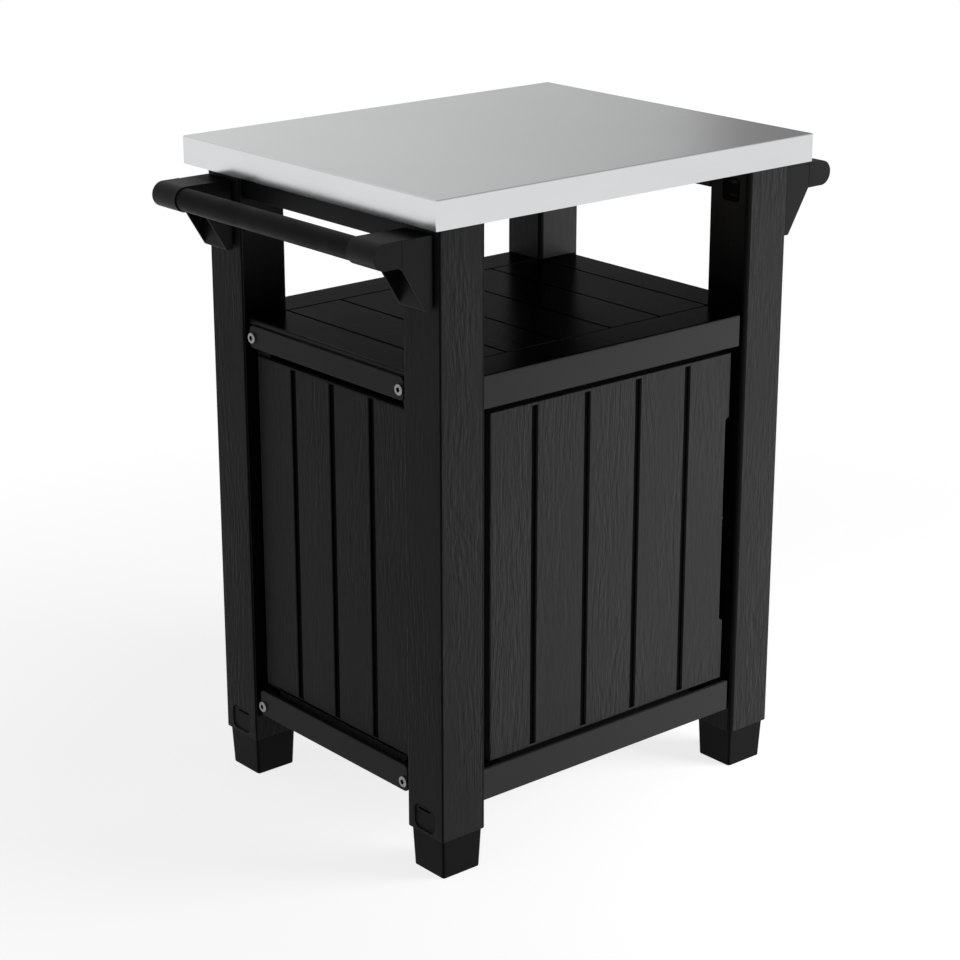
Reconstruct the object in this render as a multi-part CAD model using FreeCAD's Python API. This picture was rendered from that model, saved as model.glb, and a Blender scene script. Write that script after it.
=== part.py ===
import FreeCAD, Part
import math
import os

# A grill cart with a storage cupboard under a steel worktop, in millimetres.
# X runs across the cart, the door faces -Y, and Z points up from the floor.
# The origin is on the floor, in the middle of the cart.

# Overall sizes
TOP_WIDTH = 644.3
TOP_DEPTH = 527.5
TOP_HEIGHT = 902.0
RIM_HEIGHT = 37.2
SHEET = 1.0
SHEET_CORNER = 2.0
SHEET_INNER_CORNER = 1.0
SHEET_BEND = 1.6
HEM_HEIGHT = 10.0
BOARD_THICKNESS = 18.0
BOARD_GAP = 0.15
BOARD_CORNER = 1.5
BOARD_SCREW_OFFSET = (18.0, 16.0)
BOARD_SCREW_RADIUS = 2.0
BOARD_SCREW_HEAD_RADIUS = 4.2
BOARD_SCREW_HEAD_HEIGHT = 2.6
BOARD_SCREW_REACH = 11.0
CORNER_PLATE = 15.0

# Legs and feet
LEG_X = (226.7, 299.3)
LEG_Y = (169.9, 241.3)
LEG_WALL = 5.0
LEG_ROUND = 3.0
FOOT_HEIGHT = 55.7
FOOT_STEP = 3.3
FOOT_TAPER = 2.4
FOOT_WALL = 4.0
FOOT_CORNER = 4.0
FOOT_RIM_ROUND = 1.2
FOOT_PLUG_TOP = 91.0
FOOT_PLUG_CORNER = 1.5
SPIGOT_BOTTOM = 808.0
SPIGOT_WALL = 4.0
SPIGOT_CORNER = 2.0
SNAP_POCKET_Y = (184.0, 226.0)
SNAP_POCKET_Z = (60.0, 95.0)
SNAP_POCKET_CORNER = 10.0
SNAP_POCKET_SLOTS = (((190.0, 214.0), (86.7, 89.3)),)
SNAP_RECESS_Y = (192.0, 224.0)
SNAP_RECESS_Z = (815.0, 847.0)
SNAP_RECESS_CORNER = 6.0
SNAP_RECESS_SLOTS = (((198.0, 218.0), (820.0, 825.0)), ((198.0, 218.0), (836.5, 843.5)))
SNAP_DEPTH = 2.0

# Side beams under the worktop
BEAM_BOTTOM = 827.5
BEAM_OUTER = 288.0
BEAM_WALL = 4.0
BEAM_CORNER = 2.0
BEAM_TOWER_RADIUS = 9.0
BEAM_SCREW_Y = 110.0
BEAM_SCREW_SINK = 4.0
BEAM_SCREW_SINK_RADIUS = 6.5

# Handles
BAR_RADIUS = 15.05
BAR_WALL = 1.6
BAR_X = 375.5
BAR_Z = 837.0
NOSE_RADIUS = 16.8
SOCKET_DEPTH = 32.0
SOCKET_GAP = 0.25
ARM_Y = (181.0, 233.5)
ARM_END_ROUND = 2.0
ARM_SPIGOT_REACH = 24.0
ARM_SPIGOT_INSET_Y = 6.0
ARM_SPIGOT_BOTTOM = 828.0
ARM_ROOT_X = 350.0
BRACKET_X = 304.0
BRACKET_TOP = 853.5
BRACKET_FOOT_Z = 760.5
BRACKET_FOOT_X = 313.5
BRACKET_NOSE_Z = 820.0
BRACKET_PLATE = 3.5
BRACKET_BACK_RISE = 28.5
BRACKET_PAD_Y = (190.0, 228.0)
BRACKET_PAD_Z = (764.5, 850.5)
BRACKET_BOLT_Y = 208.1
BRACKET_BOLT_Z = (790.0, 838.0)

# Shelf, rails and floor
SHELF_TOP = 666.0
SHELF_PLATE = 6.0
SHELF_NOSE_X = 289.5
SHELF_NOSE_ROUND = 4.0
SHELF_FIELD = (225.0, 173.5)
SHELF_GROOVE_WIDTH = 3.8
SHELF_GROOVE_DEPTH = 3.0
PLANK_PITCH = 90.0
RIB_HALF_THICKNESS = 1.5
SHELF_RIB_BOTTOM = 644.0
FRONT_SKIRT_Z = (623.0, 666.0)
LOW_SKIRT_Z = (91.8, 135.5)
SKIRT_FACE_Y = 236.7
SKIRT_X = (-226.4, 222.0)
SKIRT_THICKNESS = 5.0
HIGH_SKIRT_ROUND = 3.0
LOW_SKIRT_ROUND = 1.5
FLOOR_TOP = 125.0
SIDE_RAIL_FACE_X = 294.7
SIDE_RAIL_THICKNESS = 6.0
SIDE_RAIL_HALF_LENGTH = 163.5
HIGH_RAIL_Z = (629.5, 660.5)
LOW_RAIL_Z = (97.5, 135.0)
HIGH_RAIL_SCREW_Z = 643.6
LOW_RAIL_SCREW_Z = 111.4
RAIL_SCREW_Y = 156.3
RAIL_CORNER = 7.0
RAIL_EDGE_ROUND = 1.6

# Side and back panels
PANEL_PLANKS = 7.0
PANEL_TONGUE = 4.0
GROOVE_WIDTH = 10.5
GROOVE_DEPTH = 4.0
BACK_RIB = 6.0
PLANK_EDGE_ROUND = 3.0
PANEL_OVERLAP = 0.5
SIDE_PANEL_FACE_X = 283.5
SIDE_PANEL_HALF_WIDTH = 163.0
SIDE_PANEL_Z = (142.3, 616.0)
SIDE_PANEL_GROOVES = (-83.0, 0.0, 83.0)
BACK_PANEL_FACE_Y = 228.5
BACK_PANEL_HALF_WIDTH = 217.0
BACK_PANEL_GROOVES = (-135.0, -45.0, 45.0, 135.0)
BACK_TONGUE_TOP = 641.0

# Door
DOOR_X = (-209.5, 220.0)
DOOR_Y = (-228.5, -204.5)
DOOR_Z = (140.0, 612.5)
DOOR_SKIN = 6.0
DOOR_EDGE = 5.0
DOOR_ROUND = 4.5
DOOR_SIDE_ROUND = 8.0
DOOR_SPLIT_Y = -209.5
DOOR_GROOVE_MARGIN = 3.5
NOTCH_WALL_X = 210.0
NOTCH_Z = (227.0, 522.0)
NOTCH_CORNER = 9.0
HINGE_X = -200.0
HINGE_Y = -215.0
HINGE_RADIUS = 4.0
HINGE_CLEARANCE = 0.08
HINGE_BOSS_WIDTH = 14.0
HINGE_BOSS_HEIGHT = 40.0
HINGE_PIN_GRIP = 32.0
UPPER_PIN_TOP = 640.0
UPPER_BORE_Z = (620.0, 643.0)
LOWER_PIN_BOTTOM = 114.0
LOWER_BORE_BOTTOM = 110.0
COLLAR_RADIUS = 8.0
NOTCH_EDGE = 7.0
STUD_Y = -217.5
STUD_Z = 375.0
STUD_RADIUS = 3.5
STUD_ROUND = 1.2
MAGNET_GAP = 1.7
MAGNET_HALF_SIZE = (8.5, 13.0)
MAGNET_CORNER = 2.0
MAGNET_PEG_RADIUS = 3.0
LINER_INSET = 1.0
LINER_ROUND = 1.2
LINER_RIB_X = (-180.0, 198.0)
LINER_RIBS = (250.0, 375.0, 500.0)
LINER_RIB_HALF_THICKNESS = 2.0
LINER_RIB_GAP = 0.5
LINER_FIELD_MARGIN = 24.0
LINER_FIELD_DEPTH = 1.5
LINER_FIELD_CORNER = 8.0
LINER_SCREWS = ((-192.0, 576.0), (-192.0, 176.0), (211.0, 576.0), (211.0, 176.0))

# Loose shelf inside the cupboard
INNER_SHELF_TOP = 374.0
INNER_SHELF_HEIGHT = 12.0
INNER_SHELF_X = 224.0
INNER_SHELF_Y = (-188.0, 192.0)
INNER_SHELF_ROUND = 2.0
INNER_SHELF_RIM = 20.0
INNER_SHELF_PLATE = 4.0
LEDGE_X = 215.0
LEDGE_Y = (178.0, 196.0)
LEDGE_HEIGHT = 12.0
LEDGE_ROUND = 2.0
LEDGE_PEG_RADIUS = 4.0
LEDGE_PEG_CLEARANCE = 0.1

# Screws, as head radius, head height and shank radius
BEAM_SCREW = (5.5, 3.5, 2.5)
BRACKET_BOLT = (6.0, 4.0, 3.0)
BRACKET_BOLT_LENGTH = 24.0
RAIL_SCREW = (7.5, 3.0, 3.0)
LINER_SCREW = (4.0, 1.8, 1.8)
LINER_SCREW_LENGTH = 13.0
SCREW_HOLE_RADIUS = 3.1
HOLE_REACH = 40.0

# Joints between the legs, mouldings and panels
SIDE_RIB = 6.0
END_BLOCK_Y = (203.0, 226.0)
TENON_Y = (205.0, 217.0)
TENON_PROUD = 8.0
SIDE_TENON_PROUD = 7.0
SIDE_TENON_THICKNESS = 8.0
SIDE_TENON_INSET_Z = 3.5
SIDE_BLOCK_Y = 143.0
SIDE_BLOCK_INSET = 1.5
PANEL_END_GAP = 2.0
TONGUE_STEP = 1.0
BACK_TONGUE_DROP = 3.0
SIDE_TONGUE_DROP = 20.0
SIDE_TONGUE_STOP = 12.0
TONGUE_GAP_Z = 0.5
FIT_GAP = 0.3
FLOOR_LIP = 4.0
BOLT_HOLE_DEPTH = 18.0
RAIL_SCREW_TIP = 4.0

# How far a cutting or joining shape runs past a surface
OVERRUN = 1.0

# Values worked out from the ones above
RIM_BOTTOM = TOP_HEIGHT - RIM_HEIGHT
BOARD_TOP = TOP_HEIGHT - SHEET
BOARD_BOTTOM = BOARD_TOP - BOARD_THICKNESS
LEG_TOP = BOARD_BOTTOM - CORNER_PLATE
LEG_CENTRE = ((LEG_X[0] + LEG_X[1]) / 2, (LEG_Y[0] + LEG_Y[1]) / 2)
TONGUE_INNER_X = SIDE_PANEL_FACE_X - PANEL_PLANKS - PANEL_TONGUE
TONGUE_OUTER_X = TONGUE_INNER_X + PANEL_TONGUE
BACK_TONGUE_Y = (BACK_PANEL_FACE_Y - PANEL_PLANKS - PANEL_TONGUE, BACK_PANEL_FACE_Y - PANEL_PLANKS)
RIB_X = (TONGUE_INNER_X - SIDE_RIB, TONGUE_INNER_X)
END_BLOCK_X = (188.0, SKIRT_X[1])
TENON_REACH_X = LEG_X[0] + LEG_WALL + TENON_PROUD
SIDE_RAIL_INNER_X = SIDE_RAIL_FACE_X - SIDE_RAIL_THICKNESS
SIDE_TENON_X = (TONGUE_INNER_X, TONGUE_INNER_X + SIDE_TENON_THICKNESS)
SIDE_TENON_REACH_Y = LEG_Y[0] + LEG_WALL + SIDE_TENON_PROUD
SIDE_TONGUE_Z = (LOW_RAIL_Z[1] - SIDE_TONGUE_DROP, HIGH_RAIL_Z[1] - SIDE_TONGUE_STOP)
LEDGE_TOP = INNER_SHELF_TOP - INNER_SHELF_HEIGHT
LEDGE_PEG_Y = (LEDGE_Y[0] + LEDGE_Y[1]) / 2
LEDGE_PEG_Z = LEDGE_TOP - LEDGE_HEIGHT / 2

AXIS_X = FreeCAD.Vector(1, 0, 0)
AXIS_Y = FreeCAD.Vector(0, 1, 0)
AXIS_Z = FreeCAD.Vector(0, 0, 1)
ORIGIN = FreeCAD.Vector(0, 0, 0)
SIDES = {"left": -1, "right": 1}
ENDS = {"front": -1, "rear": 1}


# Shape helpers

def block(x, y, z):
    """A box between a low and a high value on each axis."""
    low = FreeCAD.Vector(min(x), min(y), min(z))
    return Part.makeBox(abs(x[1] - x[0]), abs(y[1] - y[0]), abs(z[1] - z[0]), low)


def both(half):
    """The range from minus to plus the same value."""
    return (-half, half)


def grown(span, amount):
    """A range made longer by the same amount at both ends."""
    return (span[0] - amount, span[1] + amount)


def rod(axis, radius, start, length):
    """A round bar of a given length from a start point along an axis."""
    return Part.makeCylinder(radius, length, FreeCAD.Vector(*start), axis)


def fuse(shapes):
    """One clean solid from several touching ones."""
    result = shapes[0]
    for shape in shapes[1:]:
        result = result.fuse(shape)
    return result.removeSplitter()


def cut(shape, tools):
    """A solid with every tool taken out of it."""
    for tool in tools:
        shape = shape.cut(tool)
    return shape.removeSplitter()


def rounded(shape, radius, wanted):
    """A solid with a fillet on each straight edge that the test accepts."""
    edges = []
    for edge in shape.Edges:
        if edge.Curve.TypeId != "Part::GeomLine":
            continue
        run = edge.Vertexes[1].Point.sub(edge.Vertexes[0].Point)
        if wanted(edge.CenterOfMass, run.normalize()):
            edges.append(edge)
    return shape.makeFillet(radius, edges)


def runs_along(direction, axis):
    """True where an edge's direction is along an axis."""
    return abs(direction.dot(axis)) > 0.999


def near(value, target):
    """True where two lengths are the same to a hundredth."""
    return abs(value - target) < 0.01


def rounded_plate(across, z, radius):
    """A face in the YZ plane at x = 0, with round corners."""
    low, high = across
    bottom, top = z
    turn = radius * (1 - math.sqrt(0.5))

    def at(y, height):
        return FreeCAD.Vector(0, y, height)

    edges = [
        Part.LineSegment(at(low + radius, bottom), at(high - radius, bottom)),
        Part.Arc(at(high - radius, bottom), at(high - turn, bottom + turn), at(high, bottom + radius)),
        Part.LineSegment(at(high, bottom + radius), at(high, top - radius)),
        Part.Arc(at(high, top - radius), at(high - turn, top - turn), at(high - radius, top)),
        Part.LineSegment(at(high - radius, top), at(low + radius, top)),
        Part.Arc(at(low + radius, top), at(low + turn, top - turn), at(low, top - radius)),
        Part.LineSegment(at(low, top - radius), at(low, bottom + radius)),
        Part.Arc(at(low, bottom + radius), at(low + turn, bottom + turn), at(low + radius, bottom)),
    ]
    return Part.Face(Part.Wire([edge.toShape() for edge in edges]))


def pad(face, x):
    """A face in the YZ plane made a solid between two X values."""
    start = face.copy()
    start.translate(FreeCAD.Vector(x[0], 0, 0))
    return start.extrude(FreeCAD.Vector(x[1] - x[0], 0, 0))


def profile_along_y(points, y):
    """A solid with an outline of (x, z) points between two Y values."""
    corners = [FreeCAD.Vector(x, y[0], z) for x, z in points]
    face = Part.Face(Part.makePolygon(corners + corners[:1]))
    return face.extrude(FreeCAD.Vector(0, y[1] - y[0], 0))


def placed(shape, side, end=1):
    """The right rear piece mirrored to its side and end of the cart."""
    if side < 0:
        shape = shape.mirror(ORIGIN, AXIS_X)
    if end < 0:
        shape = shape.mirror(ORIGIN, AXIS_Y)
    return shape


def at_corners(shape):
    """Four separate copies of a right rear solid, one at each corner."""
    copies = [placed(shape, side, end) for side in SIDES.values() for end in ENDS.values()]
    return Part.makeCompound(copies)


def pan_screw(sizes, length):
    """A screw along X: its head stands on the plane x = 0 and its shank runs to -X."""
    head_radius, head_height, shank_radius = sizes
    crown_round = 0.45 * head_height
    socket_radius = 0.38 * head_radius
    socket_depth = 0.6 * head_height
    head = rod(AXIS_X, head_radius, (0, 0, 0), head_height)
    rim = [edge for edge in head.Edges if near(edge.CenterOfMass.x, head_height)]
    head = head.makeFillet(crown_round, rim)
    turns = [math.radians(60 * step) for step in range(7)]
    hexagon = Part.makePolygon([
        FreeCAD.Vector(head_height, socket_radius * math.cos(turn), socket_radius * math.sin(turn))
        for turn in turns
    ])
    socket = Part.Face(hexagon).extrude(FreeCAD.Vector(-socket_depth, 0, 0))
    shank = rod(AXIS_X, shank_radius, (-length, 0, 0), length)
    return fuse([head.cut(socket), shank])


def moved(shape, x, y, z):
    """A copy of a shape carried to another place."""
    copy = shape.copy()
    copy.translate(FreeCAD.Vector(x, y, z))
    return copy


# Worktop

def steel_top():
    """Sheet folded down on four sides, with a hem turned in along the lower edge."""
    z = (RIM_BOTTOM, TOP_HEIGHT)
    half_x = TOP_WIDTH / 2
    half_y = TOP_DEPTH / 2
    outer = block(both(half_x), both(half_y), z)
    outer = rounded(outer, SHEET_CORNER, lambda c, d: runs_along(d, AXIS_Z))
    outer = outer.makeFillet(SHEET_BEND, [e for e in outer.Edges if near(e.CenterOfMass.z, TOP_HEIGHT)])
    inner = block(both(half_x - SHEET), both(half_y - SHEET), (RIM_BOTTOM - OVERRUN, TOP_HEIGHT - SHEET))
    inner = rounded(inner, SHEET_INNER_CORNER, lambda c, d: runs_along(d, AXIS_Z))
    hem_z = (RIM_BOTTOM, RIM_BOTTOM + HEM_HEIGHT)
    hem = block(both(half_x - SHEET), both(half_y - SHEET), hem_z)
    hem = rounded(hem, SHEET_INNER_CORNER, lambda c, d: runs_along(d, AXIS_Z))
    hem = hem.cut(block(both(half_x - 2 * SHEET), both(half_y - 2 * SHEET), grown(hem_z, OVERRUN)))
    return fuse([outer.cut(inner), hem])


def board_screw_places():
    """Where two screws hold the board down on each corner block."""
    x, y = LEG_CENTRE
    step_x, step_y = BOARD_SCREW_OFFSET
    return ((x - step_x, y + step_y), (x + step_x, y - step_y))


def board_screw(place):
    """A countersunk screw with its head flush with the top of the board."""
    x, y = place
    neck = BOARD_TOP - BOARD_SCREW_HEAD_HEIGHT
    tip = BOARD_BOTTOM - BOARD_SCREW_REACH
    head = Part.makeCone(BOARD_SCREW_RADIUS, BOARD_SCREW_HEAD_RADIUS, BOARD_SCREW_HEAD_HEIGHT,
                         FreeCAD.Vector(x, y, neck), AXIS_Z)
    shank = rod(AXIS_Z, BOARD_SCREW_RADIUS, (x, y, tip), neck - tip)
    return fuse([head, shank])


def top_board():
    """The stiff board that the steel is wrapped over."""
    gap = SHEET + BOARD_GAP
    board = block(both(TOP_WIDTH / 2 - gap), both(TOP_DEPTH / 2 - gap), (BOARD_BOTTOM, BOARD_TOP))
    board = rounded(board, BOARD_CORNER, lambda c, d: runs_along(d, AXIS_Z))
    holes = [placed(board_screw(place), side, end)
             for place in board_screw_places() for side in SIDES.values() for end in ENDS.values()]
    return cut(board, holes)


def leg_cavity(z, gap=0.0):
    """The hollow of the right rear leg, or a plug that fits it with a gap."""
    return block(grown(LEG_X, -LEG_WALL - gap), grown(LEG_Y, -LEG_WALL - gap), z)


def top_corner_block():
    """A plate on the leg's end, with a hollow spigot that goes down inside the leg."""
    plate = block(LEG_X, LEG_Y, (LEG_TOP, BOARD_BOTTOM))
    spigot = leg_cavity((SPIGOT_BOTTOM, LEG_TOP), FIT_GAP)
    spigot = rounded(spigot, SPIGOT_CORNER, lambda c, d: runs_along(d, AXIS_Z))
    hollow = leg_cavity((SPIGOT_BOTTOM - OVERRUN, LEG_TOP), FIT_GAP + SPIGOT_WALL)
    screws = [board_screw(place) for place in board_screw_places()]
    return cut(fuse([plate, spigot]), [hollow, bracket_bolt_hole(BRACKET_BOLT_Z[1])] + screws)


def top_beam():
    """The channel between the legs that carries the side of the worktop."""
    x = (LEG_X[0], BEAM_OUTER)
    y = both(LEG_Y[0])
    body = block(x, y, (BEAM_BOTTOM, BOARD_BOTTOM))
    body = rounded(body, BEAM_CORNER, lambda c, d: runs_along(d, AXIS_Y) and near(c.z, BEAM_BOTTOM))
    hollow_z = (BEAM_BOTTOM + BEAM_WALL, BOARD_BOTTOM + OVERRUN)
    hollow = block(grown(x, -BEAM_WALL), grown(y, -BEAM_WALL), hollow_z)
    shell = body.cut(hollow)
    centre_x = (x[0] + x[1]) / 2
    tower_foot = BEAM_BOTTOM + OVERRUN
    towers = [rod(AXIS_Z, BEAM_TOWER_RADIUS, (centre_x, y_at, tower_foot), BOARD_BOTTOM - tower_foot)
              for y_at in both(BEAM_SCREW_Y)]
    screws = [beam_screw(y_at) for y_at in both(BEAM_SCREW_Y)]
    sink_depth = BEAM_SCREW_SINK + OVERRUN
    sinks = [rod(AXIS_Z, BEAM_SCREW_SINK_RADIUS, (centre_x, y_at, BEAM_BOTTOM - OVERRUN), sink_depth)
             for y_at in both(BEAM_SCREW_Y)]
    return cut(fuse([shell] + towers), sinks + screws)


def beam_screw(y_at):
    """A long screw that comes up through the right beam into the board."""
    seat = BEAM_BOTTOM + BEAM_SCREW_SINK
    screw = pan_screw(BEAM_SCREW, BOARD_BOTTOM - seat)
    screw.rotate(ORIGIN, AXIS_Y, 90)
    return moved(screw, (LEG_X[0] + BEAM_OUTER) / 2, y_at, seat)


# Legs and feet

def snap_cut(face_x, inward, y, z, radius, slots):
    """A shallow recess in a leg's face, with slots through the wall at its bottom."""
    outside = face_x - inward * OVERRUN
    recess = pad(rounded_plate(y, z, radius), (outside, face_x + inward * SNAP_DEPTH))
    tools = [recess]
    through = (outside, face_x + inward * (LEG_WALL + OVERRUN))
    for slot_y, slot_z in slots:
        tools.append(block(through, slot_y, slot_z))
    return tools


def bracket_bolt_hole(z_at):
    """The clearance hole for one bracket bolt in the right rear leg."""
    return rod(AXIS_X, SCREW_HOLE_RADIUS, (LEG_X[1] - BOLT_HOLE_DEPTH, BRACKET_BOLT_Y, z_at), HOLE_REACH)


def leg(has_catch):
    """The right rear leg: a square tube with mortises, snap recesses and bolt holes."""
    z = (FOOT_HEIGHT, LEG_TOP)
    body = rounded(block(LEG_X, LEG_Y, z), LEG_ROUND, lambda c, d: runs_along(d, AXIS_Z))
    tools = [leg_cavity(grown(z, OVERRUN))]
    tools += snap_cut(LEG_X[1], -1, SNAP_POCKET_Y, SNAP_POCKET_Z, SNAP_POCKET_CORNER, SNAP_POCKET_SLOTS)
    tools += snap_cut(LEG_X[0], 1, SNAP_RECESS_Y, SNAP_RECESS_Z, SNAP_RECESS_CORNER, SNAP_RECESS_SLOTS)
    skirt_mortise_x = grown((LEG_X[0], LEG_X[0] + LEG_WALL), OVERRUN)
    side_mortise_y = grown((LEG_Y[0], LEG_Y[0] + LEG_WALL), OVERRUN)
    for skirt_z in (FRONT_SKIRT_Z, LOW_SKIRT_Z):
        tools.append(block(skirt_mortise_x, grown(TENON_Y, FIT_GAP), grown(skirt_z, FIT_GAP)))
    for rail_z in (HIGH_RAIL_Z, LOW_RAIL_Z):
        mortise_z = grown(rail_z, FIT_GAP - SIDE_TENON_INSET_Z)
        tools.append(block(grown(SIDE_TENON_X, FIT_GAP), side_mortise_y, mortise_z))
    tongue_x = grown((TONGUE_INNER_X, TONGUE_OUTER_X), FIT_GAP)
    tools.append(block(tongue_x, side_mortise_y, grown(side_tongue_z(), TONGUE_GAP_Z)))
    tools.append(block(skirt_mortise_x, grown(BACK_TONGUE_Y, FIT_GAP), grown(back_tongue_z(), TONGUE_GAP_Z)))
    tools += [bracket_bolt_hole(z_at) for z_at in BRACKET_BOLT_Z]
    through = LEG_WALL + 2 * OVERRUN
    peg_start = (skirt_mortise_x[0], LEDGE_PEG_Y, LEDGE_PEG_Z)
    tools.append(rod(AXIS_X, LEDGE_PEG_RADIUS + LEDGE_PEG_CLEARANCE, peg_start, through))
    if has_catch:
        tools.append(rod(AXIS_X, SCREW_HOLE_RADIUS, (skirt_mortise_x[0], -STUD_Y, STUD_Z), through))
    return cut(body, tools)


def foot():
    """A tapered foot, hollow from above, whose plug goes up inside the leg."""
    top_x = grown(LEG_X, -FOOT_STEP)
    top_y = grown(LEG_Y, -FOOT_STEP)

    def outline(inset, z):
        x = grown(top_x, -inset)
        y = grown(top_y, -inset)
        ring = block(x, y, (z, z + OVERRUN))
        ring = rounded(ring, FOOT_CORNER, lambda c, d: runs_along(d, AXIS_Z))
        return [face for face in ring.Faces if near(face.CenterOfMass.z, z)][0].OuterWire

    body = Part.makeLoft([outline(FOOT_TAPER, 0.0), outline(0.0, FOOT_HEIGHT)], True)
    rim = [edge for edge in body.Edges if near(edge.CenterOfMass.z, 0.0)]
    body = body.makeFillet(FOOT_RIM_ROUND, rim)
    plug = leg_cavity((FOOT_HEIGHT - OVERRUN, FOOT_PLUG_TOP), FIT_GAP)
    plug = rounded(plug, FOOT_PLUG_CORNER, lambda c, d: runs_along(d, AXIS_Z))
    hollow = leg_cavity((FOOT_WALL, FOOT_PLUG_TOP + OVERRUN), FIT_GAP + FOOT_WALL)
    return cut(fuse([body, plug]), [hollow])


# Handles

def handle_bracket():
    """A gusset on the leg: two side plates, a top, a back wall and a pad that meets the leg."""
    top = BRACKET_TOP
    front_y = (ARM_Y[1] - BRACKET_PLATE, ARM_Y[1])
    back_y = (ARM_Y[0], ARM_Y[0] + BRACKET_PLATE)
    front = profile_along_y(
        [(BRACKET_X, top), (ARM_ROOT_X, top), (ARM_ROOT_X, BRACKET_NOSE_Z),
         (BRACKET_FOOT_X, BRACKET_FOOT_Z), (BRACKET_X, BRACKET_FOOT_Z)], front_y)
    back_foot_z = BRACKET_FOOT_Z + BRACKET_BACK_RISE
    back = profile_along_y(
        [(BRACKET_X, top), (ARM_ROOT_X, top), (ARM_ROOT_X, BRACKET_NOSE_Z),
         (BRACKET_FOOT_X, BRACKET_FOOT_Z), (BRACKET_X, back_foot_z)], back_y)
    lid = block((BRACKET_X, ARM_ROOT_X), ARM_Y, (top - BRACKET_PLATE, top))
    wall_x = (BRACKET_X, BRACKET_X + BRACKET_PLATE)
    wall = block(wall_x, ARM_Y, (back_foot_z, top))
    low_wall = block(wall_x, (BRACKET_PAD_Y[0], ARM_Y[1]), (BRACKET_FOOT_Z, top))
    leg_pad = block((LEG_X[1], BRACKET_X + OVERRUN), BRACKET_PAD_Y, BRACKET_PAD_Z)
    holes = [bracket_bolt_hole(z_at) for z_at in BRACKET_BOLT_Z]
    return cut(fuse([front, back, lid, wall, low_wall, leg_pad]), holes)


def bracket_bolt(z_at):
    """A bolt from inside the bracket through the leg's wall."""
    bolt = pan_screw(BRACKET_BOLT, BRACKET_BOLT_LENGTH)
    return moved(bolt, BRACKET_X + BRACKET_PLATE, BRACKET_BOLT_Y, z_at)


def handle_end():
    """The rounded end of a handle, with a blind socket for the bar and a spigot for the bracket."""
    z = (BAR_Z - NOSE_RADIUS, BAR_Z + NOSE_RADIUS)
    arm = block((ARM_ROOT_X, BAR_X), ARM_Y, z)
    nose = rod(AXIS_Y, NOSE_RADIUS, (BAR_X, ARM_Y[0], BAR_Z), ARM_Y[1] - ARM_Y[0])
    body = fuse([arm, nose])
    cap = [edge for edge in body.Edges
           if near(edge.CenterOfMass.y, ARM_Y[1]) and not near(edge.CenterOfMass.x, ARM_ROOT_X)]
    body = body.makeFillet(ARM_END_ROUND, cap)
    spigot = block((ARM_ROOT_X - ARM_SPIGOT_REACH, ARM_ROOT_X + OVERRUN), grown(ARM_Y, -ARM_SPIGOT_INSET_Y),
                   (ARM_SPIGOT_BOTTOM, BRACKET_TOP - BRACKET_PLATE))
    mouth = (BAR_X, ARM_Y[0] - OVERRUN, BAR_Z)
    socket = rod(AXIS_Y, BAR_RADIUS + SOCKET_GAP, mouth, SOCKET_DEPTH + OVERRUN)
    return cut(fuse([body, spigot]), [socket])


def handle_bar():
    """A round tube between the two ends of a handle."""
    half = ARM_Y[0] + SOCKET_DEPTH
    tube = rod(AXIS_Y, BAR_RADIUS, (BAR_X, -half, BAR_Z), 2 * half)
    bore_half = half + OVERRUN
    return tube.cut(rod(AXIS_Y, BAR_RADIUS - BAR_WALL, (BAR_X, -bore_half, BAR_Z), 2 * bore_half))


# Shelf and floor mouldings

def skirt_pair(z):
    """Front and rear skirts, with an end block and a tenon at each corner."""
    shapes = []
    for end in ENDS.values():
        y = (end * (SKIRT_FACE_Y - SKIRT_THICKNESS), end * SKIRT_FACE_Y)
        shapes.append(block(SKIRT_X, y, z))
    corner = fuse([block(END_BLOCK_X, END_BLOCK_Y, z), block((END_BLOCK_X[0], TENON_REACH_X), TENON_Y, z)])
    shapes += [placed(corner, side, end) for side in SIDES.values() for end in ENDS.values()]
    return shapes


def cross_plate(z):
    """A plate with its four corners cut away round the legs."""
    return fuse([block(both(RIB_X[1]), both(LEG_Y[0] - FIT_GAP), z),
                 block(SKIRT_X, both(SKIRT_FACE_Y - OVERRUN), z)])


def rib_holes(z_at):
    """The pilot holes for the rail screws in the side ribs, at all four corners."""
    hole = rod(AXIS_X, SCREW_HOLE_RADIUS, (RIB_X[0] - OVERRUN, RAIL_SCREW_Y, z_at), HOLE_REACH)
    return [placed(hole, side, end) for side in SIDES.values() for end in ENDS.values()]


def cross_ribs(z):
    """Thin ribs from front to rear under a plate."""
    return [block(grown((x, x), RIB_HALF_THICKNESS), both(SKIRT_FACE_Y - OVERRUN), z)
            for x in (-PLANK_PITCH, 0.0, PLANK_PITCH)]


def side_ribs(z):
    """The ribs that the side rails are screwed to."""
    return [block((side * RIB_X[0], side * RIB_X[1]), both(SIDE_RAIL_HALF_LENGTH), z)
            for side in SIDES.values()]


def hinge_bore(z):
    """The running bore for a hinge pin."""
    return rod(AXIS_Z, HINGE_RADIUS + HINGE_CLEARANCE, (HINGE_X, HINGE_Y, z[0]), z[1] - z[0])


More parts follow.
